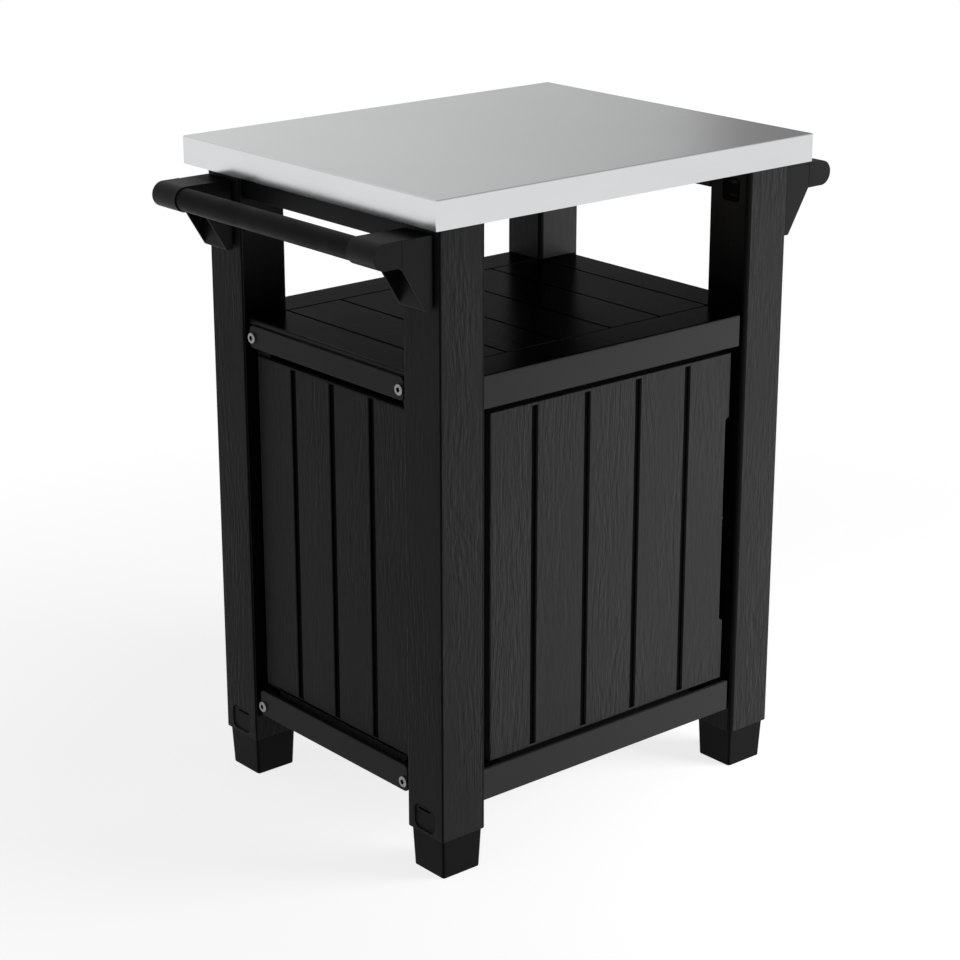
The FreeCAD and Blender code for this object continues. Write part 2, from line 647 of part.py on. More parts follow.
def shelf_deck():
    """The open shelf: a grooved plate whose front and rear edges turn down as skirts."""
    plate = cross_plate((SHELF_TOP - SHELF_PLATE, SHELF_TOP))
    eaves = block(both(SHELF_NOSE_X), both(LEG_Y[0] - FIT_GAP), (HIGH_RAIL_Z[1], SHELF_TOP))
    eaves = rounded(eaves, SHELF_NOSE_ROUND, lambda c, d: runs_along(d, AXIS_Y) and near(c.z, SHELF_TOP))
    body = fuse([plate, eaves] + skirt_pair(FRONT_SKIRT_Z))
    body = rounded(body, HIGH_SKIRT_ROUND, lambda c, d: runs_along(d, AXIS_X) and near(c.z, SHELF_TOP)
                   and near(abs(c.y), SKIRT_FACE_Y))
    rib_top = SHELF_TOP - SHELF_GROOVE_DEPTH - OVERRUN
    ribs = side_ribs((HIGH_RAIL_Z[0], SHELF_TOP - OVERRUN)) + cross_ribs((SHELF_RIB_BOTTOM, rib_top))
    body = fuse([body] + ribs)
    return cut(body, deck_grooves() + rib_holes(HIGH_RAIL_SCREW_Z) + [hinge_bore(UPPER_BORE_Z)])


def deck_grooves():
    """Narrow grooves that mark a framed field of planks on the shelf."""
    half = SHELF_GROOVE_WIDTH / 2
    z = (SHELF_TOP - SHELF_GROOVE_DEPTH, SHELF_TOP + OVERRUN)
    field_x, field_y = SHELF_FIELD
    lines_x = [side * x for x in (PLANK_PITCH / 2, 1.5 * PLANK_PITCH, field_x) for side in SIDES.values()]
    lines_y = [end * field_y for end in ENDS.values()]
    long_grooves = [block(grown((x, x), half), both(field_y), z) for x in lines_x]
    end_grooves = [block(both(field_x + half), grown((y, y), half), z) for y in lines_y]
    return long_grooves + end_grooves


def floor_tray():
    """The cupboard's floor, with low skirts in front and behind."""
    plate = cross_plate((FLOOR_TOP - SHELF_PLATE, FLOOR_TOP))
    ribs = cross_ribs((LOW_RAIL_Z[0], FLOOR_TOP - OVERRUN)) + side_ribs((LOW_RAIL_Z[0], FLOOR_TOP))
    lip_z = (LOW_RAIL_Z[0], LOW_RAIL_Z[0] + FLOOR_LIP)
    for side in SIDES.values():
        lip_x = (side * RIB_X[0], side * (SIDE_RAIL_INNER_X - FIT_GAP))
        ribs.append(block(lip_x, both(SIDE_BLOCK_Y - PANEL_END_GAP), lip_z))
    body = fuse([plate] + skirt_pair(LOW_SKIRT_Z) + ribs)
    body = rounded(body, LOW_SKIRT_ROUND, lambda c, d: runs_along(d, AXIS_X) and near(abs(c.y), SKIRT_FACE_Y))
    bore = hinge_bore((LOWER_BORE_BOTTOM, LOW_SKIRT_Z[1] + OVERRUN))
    return cut(body, rib_holes(LOW_RAIL_SCREW_Z) + [bore])


def side_rail(z, screw_z):
    """A screwed-on side rail with round corners, and a block and a tenon at each end."""
    face = rounded_plate(both(SIDE_RAIL_HALF_LENGTH), z, RAIL_CORNER)
    plate = pad(face, (SIDE_RAIL_INNER_X, SIDE_RAIL_FACE_X))
    rim = [edge for edge in plate.Edges if near(edge.CenterOfMass.x, SIDE_RAIL_FACE_X)]
    plate = plate.makeFillet(RAIL_EDGE_ROUND, rim)
    shapes = [plate]
    inset_z = grown(z, -SIDE_TENON_INSET_Z)
    for end in ENDS.values():
        block_y = (end * SIDE_BLOCK_Y, end * (SIDE_RAIL_HALF_LENGTH - SIDE_BLOCK_INSET))
        shapes.append(block((SIDE_TENON_X[0], SIDE_RAIL_INNER_X + OVERRUN), block_y, inset_z))
        shapes.append(block(SIDE_TENON_X, (end * SIDE_BLOCK_Y, end * SIDE_TENON_REACH_Y), inset_z))
    holes = [rod(AXIS_X, SCREW_HOLE_RADIUS, (SIDE_TENON_X[0] - OVERRUN, y, screw_z), HOLE_REACH)
             for y in both(RAIL_SCREW_Y)]
    return cut(fuse(shapes), holes)


def rail_screws():
    """The large-headed screws at the ends of the side rails, head outwards."""
    screw = pan_screw(RAIL_SCREW, SIDE_RAIL_FACE_X - RIB_X[0] + RAIL_SCREW_TIP)
    screws = []
    for z_at in (HIGH_RAIL_SCREW_Z, LOW_RAIL_SCREW_Z):
        right = moved(screw, SIDE_RAIL_FACE_X, RAIL_SCREW_Y, z_at)
        screws += [placed(right, side, end) for side in SIDES.values() for end in ENDS.values()]
    return Part.makeCompound(screws)


# Panels

def side_tongue_z():
    """How high the side panel's tongue runs inside the legs."""
    return (LOW_RAIL_Z[1] + TONGUE_STEP, HIGH_RAIL_Z[0] + TONGUE_STEP)


def back_tongue_z():
    """How high the back panel's tongue runs inside the legs."""
    return (LOW_SKIRT_Z[1] + TONGUE_STEP, FRONT_SKIRT_Z[0] - BACK_TONGUE_DROP)


def side_panel():
    """Four planks in one board, with a thin tongue all round that the legs and rails hide."""
    planks_x = (TONGUE_OUTER_X - PANEL_OVERLAP, SIDE_PANEL_FACE_X)
    planks = block(planks_x, both(SIDE_PANEL_HALF_WIDTH), SIDE_PANEL_Z)
    planks = rounded(planks, PLANK_EDGE_ROUND, lambda c, d: near(c.x, SIDE_PANEL_FACE_X))
    tongue_x = (TONGUE_INNER_X, TONGUE_OUTER_X)
    wide = block(tongue_x, both(LEG_Y[0] + LEG_WALL), side_tongue_z())
    tall = block(tongue_x, both(SIDE_BLOCK_Y - PANEL_END_GAP), SIDE_TONGUE_Z)
    grooves = [block((SIDE_PANEL_FACE_X - GROOVE_DEPTH, SIDE_PANEL_FACE_X + OVERRUN),
                     grown((y, y), GROOVE_WIDTH / 2), grown(SIDE_PANEL_Z, OVERRUN))
               for y in SIDE_PANEL_GROOVES]
    edges = (-SIDE_PANEL_HALF_WIDTH,) + SIDE_PANEL_GROOVES + (SIDE_PANEL_HALF_WIDTH,)
    fields = [block((TONGUE_INNER_X - OVERRUN, TONGUE_OUTER_X), (low + BACK_RIB, high - BACK_RIB),
                    grown(SIDE_PANEL_Z, -2 * BACK_RIB)) for low, high in zip(edges, edges[1:])]
    return cut(fuse([planks, wide, tall]), grooves + fields)


def back_panel():
    """Five planks in one board behind the cupboard, held like the side panels."""
    face = BACK_PANEL_FACE_Y
    planks = block(both(BACK_PANEL_HALF_WIDTH), (BACK_TONGUE_Y[1] - PANEL_OVERLAP, face), DOOR_Z)
    planks = rounded(planks, PLANK_EDGE_ROUND, lambda c, d: near(c.y, face))
    wide = block(both(LEG_X[0] + LEG_WALL), BACK_TONGUE_Y, back_tongue_z())
    tall = block(both(END_BLOCK_X[0] - PANEL_END_GAP), BACK_TONGUE_Y, (FLOOR_TOP, BACK_TONGUE_TOP))
    grooves = [block(grown((x, x), GROOVE_WIDTH / 2), (face - GROOVE_DEPTH, face + OVERRUN),
                     grown(DOOR_Z, OVERRUN)) for x in BACK_PANEL_GROOVES]
    edges = (-BACK_PANEL_HALF_WIDTH,) + BACK_PANEL_GROOVES + (BACK_PANEL_HALF_WIDTH,)
    fields = [block((low + BACK_RIB, high - BACK_RIB), (BACK_TONGUE_Y[0] - OVERRUN, BACK_TONGUE_Y[1]),
                    grown(DOOR_Z, -2 * BACK_RIB)) for low, high in zip(edges, edges[1:])]
    return cut(fuse([planks, wide, tall]), grooves + fields)


# Door

def notch(y, inset=0.0):
    """The long finger notch in the free edge of the door."""
    x = (NOTCH_WALL_X - inset, DOOR_X[1] + NOTCH_CORNER + OVERRUN)
    z = grown(NOTCH_Z, inset)
    tool = block(x, grown(y, OVERRUN), z)
    return rounded(tool, NOTCH_CORNER, lambda c, d: runs_along(d, AXIS_Y) and near(c.x, x[0]))


def hinge_boss_blocks():
    """Solid corners in the hollow door that hold the two hinge pins."""
    x = (DOOR_X[0], HINGE_X + HINGE_BOSS_WIDTH)
    y = (DOOR_Y[0] + DOOR_SKIN, DOOR_SPLIT_Y + 2 * OVERRUN)
    return [block(x, y, (DOOR_Z[1] - HINGE_BOSS_HEIGHT, DOOR_Z[1])),
            block(x, y, (DOOR_Z[0], DOOR_Z[0] + HINGE_BOSS_HEIGHT))]


def door_panel():
    """The outer half of the door: five planks, hollow behind, with a notch on the free edge."""
    front = block(DOOR_X, (DOOR_Y[0], DOOR_SPLIT_Y), DOOR_Z)
    upright = rounded(front, DOOR_SIDE_ROUND, lambda c, d: near(c.y, DOOR_Y[0]) and runs_along(d, AXIS_Z))
    level = rounded(front, DOOR_ROUND, lambda c, d: near(c.y, DOOR_Y[0]) and runs_along(d, AXIS_X))
    body = upright.common(level)
    hollow = block((DOOR_X[0] + DOOR_EDGE, NOTCH_WALL_X - NOTCH_EDGE),
                   (DOOR_Y[0] + DOOR_SKIN, DOOR_SPLIT_Y + OVERRUN), grown(DOOR_Z, -DOOR_EDGE))
    for boss in hinge_boss_blocks():
        hollow = hollow.cut(boss)
    groove_z = grown(DOOR_Z, -DOOR_GROOVE_MARGIN)
    grooves = [block(grown((x, x), GROOVE_WIDTH / 2),
                     (DOOR_Y[0] - OVERRUN, DOOR_Y[0] + GROOVE_DEPTH), groove_z)
               for x in BACK_PANEL_GROOVES]
    pins = [hinge_pin_upper(), hinge_pin_lower(), catch_stud()]
    return cut(body, [hollow, notch((DOOR_Y[0], DOOR_SPLIT_Y))] + grooves + pins + liner_screw_list())


def door_liner():
    """The flat inner half of the door, with stiffening ribs inside the hollow."""
    x = grown(DOOR_X, -LINER_INSET)
    z = grown(DOOR_Z, -LINER_INSET)
    plate = block(x, (DOOR_SPLIT_Y, DOOR_Y[1]), z)
    plate = rounded(plate, LINER_ROUND, lambda c, d: near(c.y, DOOR_Y[1]))
    rib_y = (DOOR_Y[0] + DOOR_SKIN + LINER_RIB_GAP, DOOR_SPLIT_Y + OVERRUN)
    ribs = [block(LINER_RIB_X, rib_y, grown((z_at, z_at), LINER_RIB_HALF_THICKNESS)) for z_at in LINER_RIBS]
    field = block((x[0] + LINER_FIELD_MARGIN, NOTCH_WALL_X - LINER_FIELD_MARGIN),
                  (DOOR_Y[1] - LINER_FIELD_DEPTH, DOOR_Y[1] + OVERRUN), grown(z, -LINER_FIELD_MARGIN))
    field = rounded(field, LINER_FIELD_CORNER, lambda c, d: runs_along(d, AXIS_Y))
    opening = notch((DOOR_SPLIT_Y, DOOR_Y[1]), LINER_INSET)
    return cut(fuse([plate] + ribs), [field, opening] + liner_screw_list())


def liner_screw_list():
    """Screws that close the door, driven from inside."""
    screws = []
    for x, z in LINER_SCREWS:
        screw = pan_screw(LINER_SCREW, LINER_SCREW_LENGTH)
        screw.rotate(ORIGIN, AXIS_Z, 90)
        screws.append(moved(screw, x, DOOR_Y[1], z))
    return screws


def hinge_pin_upper():
    """The upper hinge pin, pressed into the door and free in the shelf."""
    low = DOOR_Z[1] - HINGE_PIN_GRIP
    return rod(AXIS_Z, HINGE_RADIUS, (HINGE_X, HINGE_Y, low), UPPER_PIN_TOP - low)


def hinge_pin_lower():
    """The lower hinge pin, with a collar that carries the door on the floor tray."""
    low = LOWER_PIN_BOTTOM
    pin = rod(AXIS_Z, HINGE_RADIUS, (HINGE_X, HINGE_Y, low), DOOR_Z[0] + HINGE_PIN_GRIP - low)
    collar_z = LOW_SKIRT_Z[1] + FIT_GAP
    collar = rod(AXIS_Z, COLLAR_RADIUS, (HINGE_X, HINGE_Y, collar_z), DOOR_Z[0] - collar_z)
    return fuse([pin, collar])


def catch_stud():
    """The steel stud in the finger notch that the magnet holds."""
    start = NOTCH_WALL_X - NOTCH_EDGE
    stud = rod(AXIS_X, STUD_RADIUS, (start, STUD_Y, STUD_Z), DOOR_X[1] - start)
    return stud.makeFillet(STUD_ROUND, [edge for edge in stud.Edges if near(edge.CenterOfMass.x, DOOR_X[1])])


def catch_magnet():
    """A magnet in a small housing on the right front leg, facing the stud."""
    half_y, half_z = MAGNET_HALF_SIZE
    housing = block((DOOR_X[1] + MAGNET_GAP, LEG_X[0]), grown((STUD_Y, STUD_Y), half_y),
                    grown((STUD_Z, STUD_Z), half_z))
    housing = rounded(housing, MAGNET_CORNER, lambda c, d: runs_along(d, AXIS_X))
    peg = rod(AXIS_X, MAGNET_PEG_RADIUS, (LEG_X[0] - OVERRUN, STUD_Y, STUD_Z), LEG_WALL + 2 * OVERRUN)
    return fuse([housing, peg])


# Loose shelf

def inner_shelf():
    """A light tray that lies on four ledges inside the cupboard."""
    body = block(both(INNER_SHELF_X), INNER_SHELF_Y, (LEDGE_TOP, INNER_SHELF_TOP))
    body = rounded(body, INNER_SHELF_ROUND, lambda c, d: near(c.z, INNER_SHELF_TOP))
    under = block(both(INNER_SHELF_X - INNER_SHELF_RIM), grown(INNER_SHELF_Y, -INNER_SHELF_RIM),
                  (LEDGE_TOP - OVERRUN, INNER_SHELF_TOP - INNER_SHELF_PLATE))
    return cut(body, [under])


def shelf_ledge():
    """A ledge on the inside of the right rear leg, with a peg into the leg."""
    low = LEDGE_TOP - LEDGE_HEIGHT
    ledge = block((LEDGE_X, LEG_X[0]), LEDGE_Y, (low, LEDGE_TOP))
    ledge = rounded(ledge, LEDGE_ROUND, lambda c, d: near(c.x, LEDGE_X) and near(c.z, low))
    peg_start = (LEG_X[0] - OVERRUN, LEDGE_PEG_Y, LEDGE_PEG_Z)
    peg = rod(AXIS_X, LEDGE_PEG_RADIUS, peg_start, LEG_WALL + 2 * OVERRUN)
    return fuse([ledge, peg])


# The whole cart

def worktop_parts():
    """The worktop and what carries it on the legs."""
    parts = {"steel_top": steel_top(), "top_board": top_board()}
    corner = top_corner_block()
    for end_name, end in ENDS.items():
        for side_name, side in SIDES.items():
            parts[f"top_corner_block_{end_name}_{side_name}"] = placed(corner, side, end)
    beam = top_beam()
    for side_name, side in SIDES.items():
        parts[f"top_beam_{side_name}"] = placed(beam, side)
    board_screws = [placed(board_screw(place), side, end)
                    for place in board_screw_places() for side in SIDES.values() for end in ENDS.values()]
    beam_screws = [placed(beam_screw(y_at), side) for y_at in both(BEAM_SCREW_Y) for side in SIDES.values()]
    parts["board_screws"] = Part.makeCompound(board_screws)
    parts["beam_screws"] = Part.makeCompound(beam_screws)
    return parts


def corner_parts():
    """Legs, feet and handle parts, which repeat at the four corners."""
    parts = {}
    foot_shape = foot()
    bracket = handle_bracket()
    handle_tip = handle_end()
    for end_name, end in ENDS.items():
        for side_name, side in SIDES.items():
            corner = f"{end_name}_{side_name}"
            has_catch = corner == "front_right"
            parts[f"leg_{corner}"] = placed(leg(has_catch), side, end)
            parts[f"foot_{corner}"] = placed(foot_shape, side, end)
            parts[f"handle_bracket_{corner}"] = placed(bracket, side, end)
            parts[f"handle_end_{corner}"] = placed(handle_tip, side, end)
    bar = handle_bar()
    for side_name, side in SIDES.items():
        parts[f"handle_bar_{side_name}"] = placed(bar, side)
    bolts = [placed(bracket_bolt(z_at), side, end)
             for z_at in BRACKET_BOLT_Z for side in SIDES.values() for end in ENDS.values()]
    parts["bracket_bolts"] = Part.makeCompound(bolts)
    return parts


def cupboard_parts():
    """Shelf, floor, rails, panels and the loose shelf."""
    parts = {"shelf_deck": shelf_deck(), "floor_tray": floor_tray(), "back_panel": back_panel()}
    high_rail = side_rail(HIGH_RAIL_Z, HIGH_RAIL_SCREW_Z)
    low_rail = side_rail(LOW_RAIL_Z, LOW_RAIL_SCREW_Z)
    panel = side_panel()
    for side_name, side in SIDES.items():
        parts[f"upper_side_rail_{side_name}"] = placed(high_rail, side)
        parts[f"lower_side_rail_{side_name}"] = placed(low_rail, side)
        parts[f"side_panel_{side_name}"] = placed(panel, side)
    parts["rail_screws"] = rail_screws()
    parts["inner_shelf"] = inner_shelf()
    parts["shelf_ledges"] = at_corners(shelf_ledge())
    parts["catch_magnet"] = catch_magnet()
    return parts


def door_parts():
    """Everything that swings with the door."""
    return {
        "door_panel": door_panel(),
        "door_liner": door_liner(),
        "hinge_pin_upper": hinge_pin_upper(),
        "hinge_pin_lower": hinge_pin_lower(),
        "catch_stud": catch_stud(),
        "door_liner_screws": Part.makeCompound(liner_screw_list()),
    }


def main():
    """Makes every sub-part and writes each to its own file."""
    os.makedirs("parts", exist_ok=True)
    parts = {**worktop_parts(), **corner_parts(), **cupboard_parts(), **door_parts()}
    for name, shape in sorted(parts.items()):
        shape.exportStep(f"parts/{name}.step")
        solids = len(shape.Solids)
        print(f"{name}: {solids} solid, {shape.Volume / 1000:.1f} cm3, valid {shape.isValid()}")


main()
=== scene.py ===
"""Looks of a grill cart with a storage cupboard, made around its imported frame.

Sizes in the classes are millimetres. A finished piece is set down in metres, in the frame's own place.
X runs across the cart, the door faces -Y, and Z points up from the floor.
"""

import sys
import logging
import math
from abc import ABC, abstractmethod
from collections.abc import Iterable, Sequence
from dataclasses import dataclass, field
from enum import Enum, IntEnum
from typing import Any, NamedTuple

import bmesh
import bpy
from mathutils import Matrix, Vector


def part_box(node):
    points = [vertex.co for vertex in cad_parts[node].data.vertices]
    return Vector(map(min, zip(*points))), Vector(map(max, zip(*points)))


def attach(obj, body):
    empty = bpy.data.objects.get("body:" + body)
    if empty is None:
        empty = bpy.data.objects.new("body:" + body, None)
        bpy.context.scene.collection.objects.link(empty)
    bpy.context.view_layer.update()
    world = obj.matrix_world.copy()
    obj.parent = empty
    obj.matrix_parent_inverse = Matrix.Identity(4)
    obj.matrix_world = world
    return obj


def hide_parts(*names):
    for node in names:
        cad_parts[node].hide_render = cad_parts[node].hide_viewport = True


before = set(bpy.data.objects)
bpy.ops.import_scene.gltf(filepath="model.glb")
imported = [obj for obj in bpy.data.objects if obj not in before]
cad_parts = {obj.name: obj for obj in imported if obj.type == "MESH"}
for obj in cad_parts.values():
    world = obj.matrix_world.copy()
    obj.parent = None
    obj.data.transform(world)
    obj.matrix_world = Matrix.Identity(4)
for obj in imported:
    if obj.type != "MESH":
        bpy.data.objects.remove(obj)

LOG = logging.getLogger("grill_cart")
MILLIMETRE = 0.001
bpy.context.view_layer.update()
Colour = tuple[float, float, float]
BLACK = (0.0, 0.0, 0.0)
WHITE = (1.0, 1.0, 1.0)

# How wide a range is that only has to take in one flat face
FACE_WIDTH = 0.2
# How far a zone reaches past the edges that it holds
MARGIN = 0.1
# The least angle between two faces, in degrees, that makes a corner
CORNER_ANGLE = 60.0
# Two directions whose product is over this are the same
SAME_WAY = 0.999
# Points nearer to each other than this are one
WELD = 1e-4
# A length that counts as nothing
SLIVER = 1e-3
# How far a block that joins another reaches into it
LAP = 1.0
# The place of the painted shade finish of grooves, recesses and sockets among a piece's finishes
DARK = 1


class Axis(Enum):
    """One of the three directions of the cart."""

    X = 0
    Y = 1
    Z = 2

    @property
    def unit(self) -> Vector:
        """The direction as a vector of length one."""
        return Vector([float(index == self.value) for index in range(3)])

    @property
    def others(self) -> tuple["Axis", "Axis"]:
        """The two directions that lie across this one."""
        first, second = [axis for axis in Axis if axis is not self]
        return first, second


class Body(Enum):
    """The bodies that pieces ride on."""

    CART = "cart"
    DOOR = "door"


class Slot(Enum):
    """The material slots of the record."""

    WORKTOP_STEEL = "worktop_steel"
    BOARD = "board"
    GRAINED_RESIN = "grained_resin"
    SHELF_RESIN = "shelf_resin"
    SMOOTH_RESIN = "smooth_resin"
    BAR_ENAMEL = "bar_enamel"
    SCREW_STEEL = "screw_steel"
    PIN_STEEL = "pin_steel"


class Side(Enum):
    """The two sides of the cart, and their sign on X."""

    LEFT = -1
    RIGHT = 1

    @property
    def word(self) -> str:
        """The side's name in a piece's name."""
        return self.name.lower()


class End(Enum):
    """The front and the rear of the cart, and their sign on Y."""

    FRONT = -1
    REAR = 1

    @property
    def word(self) -> str:
        """The end's name in a piece's name."""
        return self.name.lower()


CORNERS = [(end, side) for end in End for side in Side]


class Span(NamedTuple):
    """A range along one axis, in millimetres."""

    low: float
    high: float

    @property
    def middle(self) -> float:
        """The value halfway along the range."""
        return (self.low + self.high) / 2

    @property
    def length(self) -> float:
        """How long the range is."""
        return self.high - self.low

    def grown(self, amount: float) -> "Span":
        """The range with the same amount added at both ends."""
        return Span(self.low - amount, self.high + amount)

    def holds(self, value: float) -> bool:
        """True where a value lies in the range."""
        return self.low <= value <= self.high

    @classmethod
    def both(cls, half: float) -> "Span":
        """The range from minus to plus a value."""
        return cls(-half, half)

    @classmethod
    def around(cls, centre: float, width: float) -> "Span":
        """The range of a width about its centre."""
        return cls(centre - width / 2, centre + width / 2)

    @classmethod
    def thin(cls, place: float) -> "Span":
        """A thin range about the place of a flat face."""
        return cls.around(place, FACE_WIDTH)

    def signed(self, sign: int) -> "Span":
        """The range as it is, or mirrored where the sign is -1."""
        return Span(*sorted(sign * end for end in self))


FOREVER = Span(-1e4, 1e4)


@dataclass(frozen=True)
class Extent:
    """A box, as a range on each axis."""

    x: Span = FOREVER
    y: Span = FOREVER
    z: Span = FOREVER

    @classmethod
    def of(cls, node: str) -> "Extent":
        """The box of a CAD node.

        Args:
            node: The node's name.

        Returns:
            Its box in millimetres.
        """
        low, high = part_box(node)
        return cls(*(Span(a / MILLIMETRE, b / MILLIMETRE) for a, b in zip(low, high)))

    def on(self, axis: Axis) -> Span:
        """The box's range on one axis."""
        return (self.x, self.y, self.z)[axis.value]

    def holds(self, point: Vector) -> bool:
        """True where a point is in the box."""
        return all(self.on(axis).holds(point[axis.value]) for axis in Axis)

    @property
    def centre(self) -> Vector:
        """The middle of the box."""
        return Vector([self.on(axis).middle for axis in Axis])

    @property
    def size(self) -> Vector:
        """How long the box is on each axis."""
        return Vector([self.on(axis).length for axis in Axis])


class Shape:
    """A mesh in the making, in millimetres, shaped by mesh operators."""

    def __init__(self) -> None:
        """Starts with nothing."""
        self.mesh = bmesh.new()

    @classmethod
    def block(cls, extent: Extent) -> "Shape":
        """A shape that starts as a box.

        Args:
            extent: The box to fill.

        Returns:
            The new shape.
        """
        shape = cls()
        shape.add_block(extent)
        return shape

    def add_block(self, extent: Extent) -> list[bmesh.types.BMVert]:
        """Adds a box as a shell of its own.

        Args:
            extent: The box to fill.

        Returns:
            The corners of the box.
        """
        verts = bmesh.ops.create_cube(self.mesh, size=1.0)["verts"]
        bmesh.ops.scale(self.mesh, vec=extent.size, verts=verts)
        bmesh.ops.translate(self.mesh, vec=extent.centre, verts=verts)
        return verts

    @classmethod
    def prism(cls, outline: Sequence[tuple[float, float]], axis: Axis, span: Span) -> "Shape":
        """A shape that starts as a flat outline drawn out along an axis.

        Args:
            outline: The corners of the outline, on the two axes across the given one.
            axis: The direction to draw the outline out along.
            span: Where it starts and ends on that axis.

        Returns:
            The new shape.
        """
        shape = cls()
        first, second = axis.others
        corners = [
            shape.mesh.verts.new(axis.unit * span.low + first.unit * a + second.unit * b)
            for a, b in outline
        ]
        face = shape.mesh.faces.new(corners)
        drawn = bmesh.ops.extrude_face_region(shape.mesh, geom=[face])["geom"]
        moved = [item for item in drawn if isinstance(item, bmesh.types.BMVert)]
        bmesh.ops.translate(shape.mesh, vec=axis.unit * span.length, verts=moved)
        shape.face_outwards()
        return shape

    @classmethod
    def turned(cls, outline: Sequence[tuple[float, float]], steps: int) -> "Shape":
        """A shape turned about the Z axis from half a section.

        Args:
            outline: Points of the section, as radius and height; the first and last lie on the axis.
            steps: How many sides the turned shape has.

        Returns:
            The new shape.
        """
        shape = cls()
        points = [shape.mesh.verts.new((radius, 0.0, height)) for radius, height in outline]
        edges = [shape.mesh.edges.new(pair) for pair in zip(points, points[1:])]
        bmesh.ops.spin(
            shape.mesh, geom=points + edges, cent=(0, 0, 0), axis=(0, 0, 1),
            angle=math.tau, steps=steps, use_merge=True, use_duplicate=False,
        )
        bmesh.ops.remove_doubles(shape.mesh, verts=shape.mesh.verts, dist=WELD)
        shape.face_outwards()
        return shape

    def join(self, other: "Shape") -> None:
        """Takes in a copy of another shape as shells of their own.

        Args:
            other: The shape to take in.
        """
        carrier = bpy.data.meshes.new("carrier")
        other.mesh.to_mesh(carrier)
        self.mesh.from_mesh(carrier)
        bpy.data.meshes.remove(carrier)

    def face_outwards(self) -> None:
        """Turns every face outwards."""
        bmesh.ops.recalc_face_normals(self.mesh, faces=self.mesh.faces)
        self.mesh.normal_update()

    def faces(self, direction: Vector, zone: Extent = Extent()) -> list[bmesh.types.BMFace]:
        """Flat faces that look one way and have their middle in a box.

        Args:
            direction: Where the faces look.
            zone: The box that holds their middles.

        Returns:
            The faces found.
        """
        self.mesh.normal_update()
        return [
            face for face in self.mesh.faces
            if face.normal.dot(direction) > SAME_WAY and zone.holds(face.calc_center_median())
        ]

    def edges(
        self, zone: Extent = Extent(), along: Axis | None = None, sharper_than: float = 40.0
    ) -> list[bmesh.types.BMEdge]:
        """Sharp edges in a box.

        Args:
            zone: The box that holds both ends of the edge.
            along: The direction that the edge runs in, where that matters.
            sharper_than: The least angle between its two faces, in degrees.

        Returns:
            The edges found.
        """
        self.mesh.normal_update()
        found = []
        for edge in self.mesh.edges:
            if len(edge.link_faces) != 2 or edge.calc_face_angle() < math.radians(sharper_than):
                continue
            if not all(zone.holds(vert.co) for vert in edge.verts):
                continue
            run = (edge.verts[1].co - edge.verts[0].co).normalized()
            if along is None or abs(run.dot(along.unit)) > SAME_WAY:
                found.append(edge)
        return found

    def soften(self, edges: Iterable[bmesh.types.BMEdge], width: float, segments: int = 3) -> None:
        """Rounds edges.

        Args:
            edges: The edges to round.
            width: The radius of the round.
            segments: How many strips it has.
        """
        bmesh.ops.bevel(
            self.mesh, geom=list(edges), offset=width, offset_type="OFFSET", segments=segments,
            profile=0.5, affect="EDGES", clamp_overlap=True, material=-1,
        )

    def split(self, faces: list[bmesh.types.BMFace], axis: Axis, at: float) -> None:
        """Cuts some faces along a plane.

        Args:
            faces: The faces to cut.
            axis: The direction that the plane lies across.
            at: Where the plane is on that axis.
        """
        edges = {edge for face in faces for edge in face.edges}
        verts = {vert for face in faces for vert in face.verts}
        bmesh.ops.bisect_plane(
            self.mesh, geom=[*faces, *edges, *verts], dist=WELD,
            plane_co=axis.unit * at, plane_no=axis.unit,
        )

    def marked_out(self, direction: Vector, zone: Extent) -> list[bmesh.types.BMFace]:
        """Cuts the part of some flat faces that lies in a box out of them.

        Args:
            direction: Where the faces look.
            zone: The box; the plane of the faces lies in it.

        Returns:
            The faces in the box.
        """
        for axis in Axis:
            if abs(direction[axis.value]) > 0.5:
                continue
            for at in zone.on(axis):
                self.split(self.crossed(direction, zone, axis, at), axis, at)
        return self.faces(direction, zone)

    def crossed(self, direction: Vector, zone: Extent, axis: Axis, at: float) -> list[bmesh.types.BMFace]:
        """Flat faces that a plane crosses and that reach into a box.

        Args:
            direction: Where the faces look.
            zone: The box that they reach into.
            axis: The direction that the plane lies across.
            at: Where the plane is on that axis.

        Returns:
            The faces found.
        """
        found = []
        for face in self.faces(direction):
            spans = [Span(*self.reach(face, other)) for other in Axis]
            meets = all(
                span.low < zone.on(other).high - SLIVER and span.high > zone.on(other).low + SLIVER
                or other.unit.dot(direction) and zone.on(other).holds(span.middle)
                for other, span in zip(Axis, spans)
            )
            if meets and spans[axis.value].low < at < spans[axis.value].high:
                found.append(face)
        return found

    @staticmethod
    def reach(face: bmesh.types.BMFace, axis: Axis) -> tuple[float, float]:
        """The least and greatest place of a face's corners on an axis."""
        places = [vert.co[axis.value] for vert in face.verts]
        return min(places), max(places)

    def push(self, direction: Vector, zone: Extent, distance: float) -> list[bmesh.types.BMFace]:
        """Moves the part of some flat faces that lies in a box straight out or in.

        Args:
            direction: Where the faces look.
            zone: The box; the plane of the faces lies in it.
            distance: How far they move the way they look; less than nothing is inwards.

        Returns:
            The moved faces.
        """
        drawn = self.drawn_out(self.marked_out(direction, zone))
        bmesh.ops.translate(self.mesh, vec=direction * distance, verts=corners_of(drawn))
        return drawn

    def drawn_out(self, faces: list[bmesh.types.BMFace]) -> list[bmesh.types.BMFace]:
        """Draws faces out with walls round them, and takes away those that they leave behind.

        Args:
            faces: The faces to draw out.

        Returns:
            The new faces, still in the place of the old ones.
        """
        drawn = bmesh.ops.extrude_face_region(self.mesh, geom=faces)["geom"]
        bmesh.ops.delete(self.mesh, geom=faces, context="FACES")
        return [item for item in drawn if isinstance(item, bmesh.types.BMFace)]

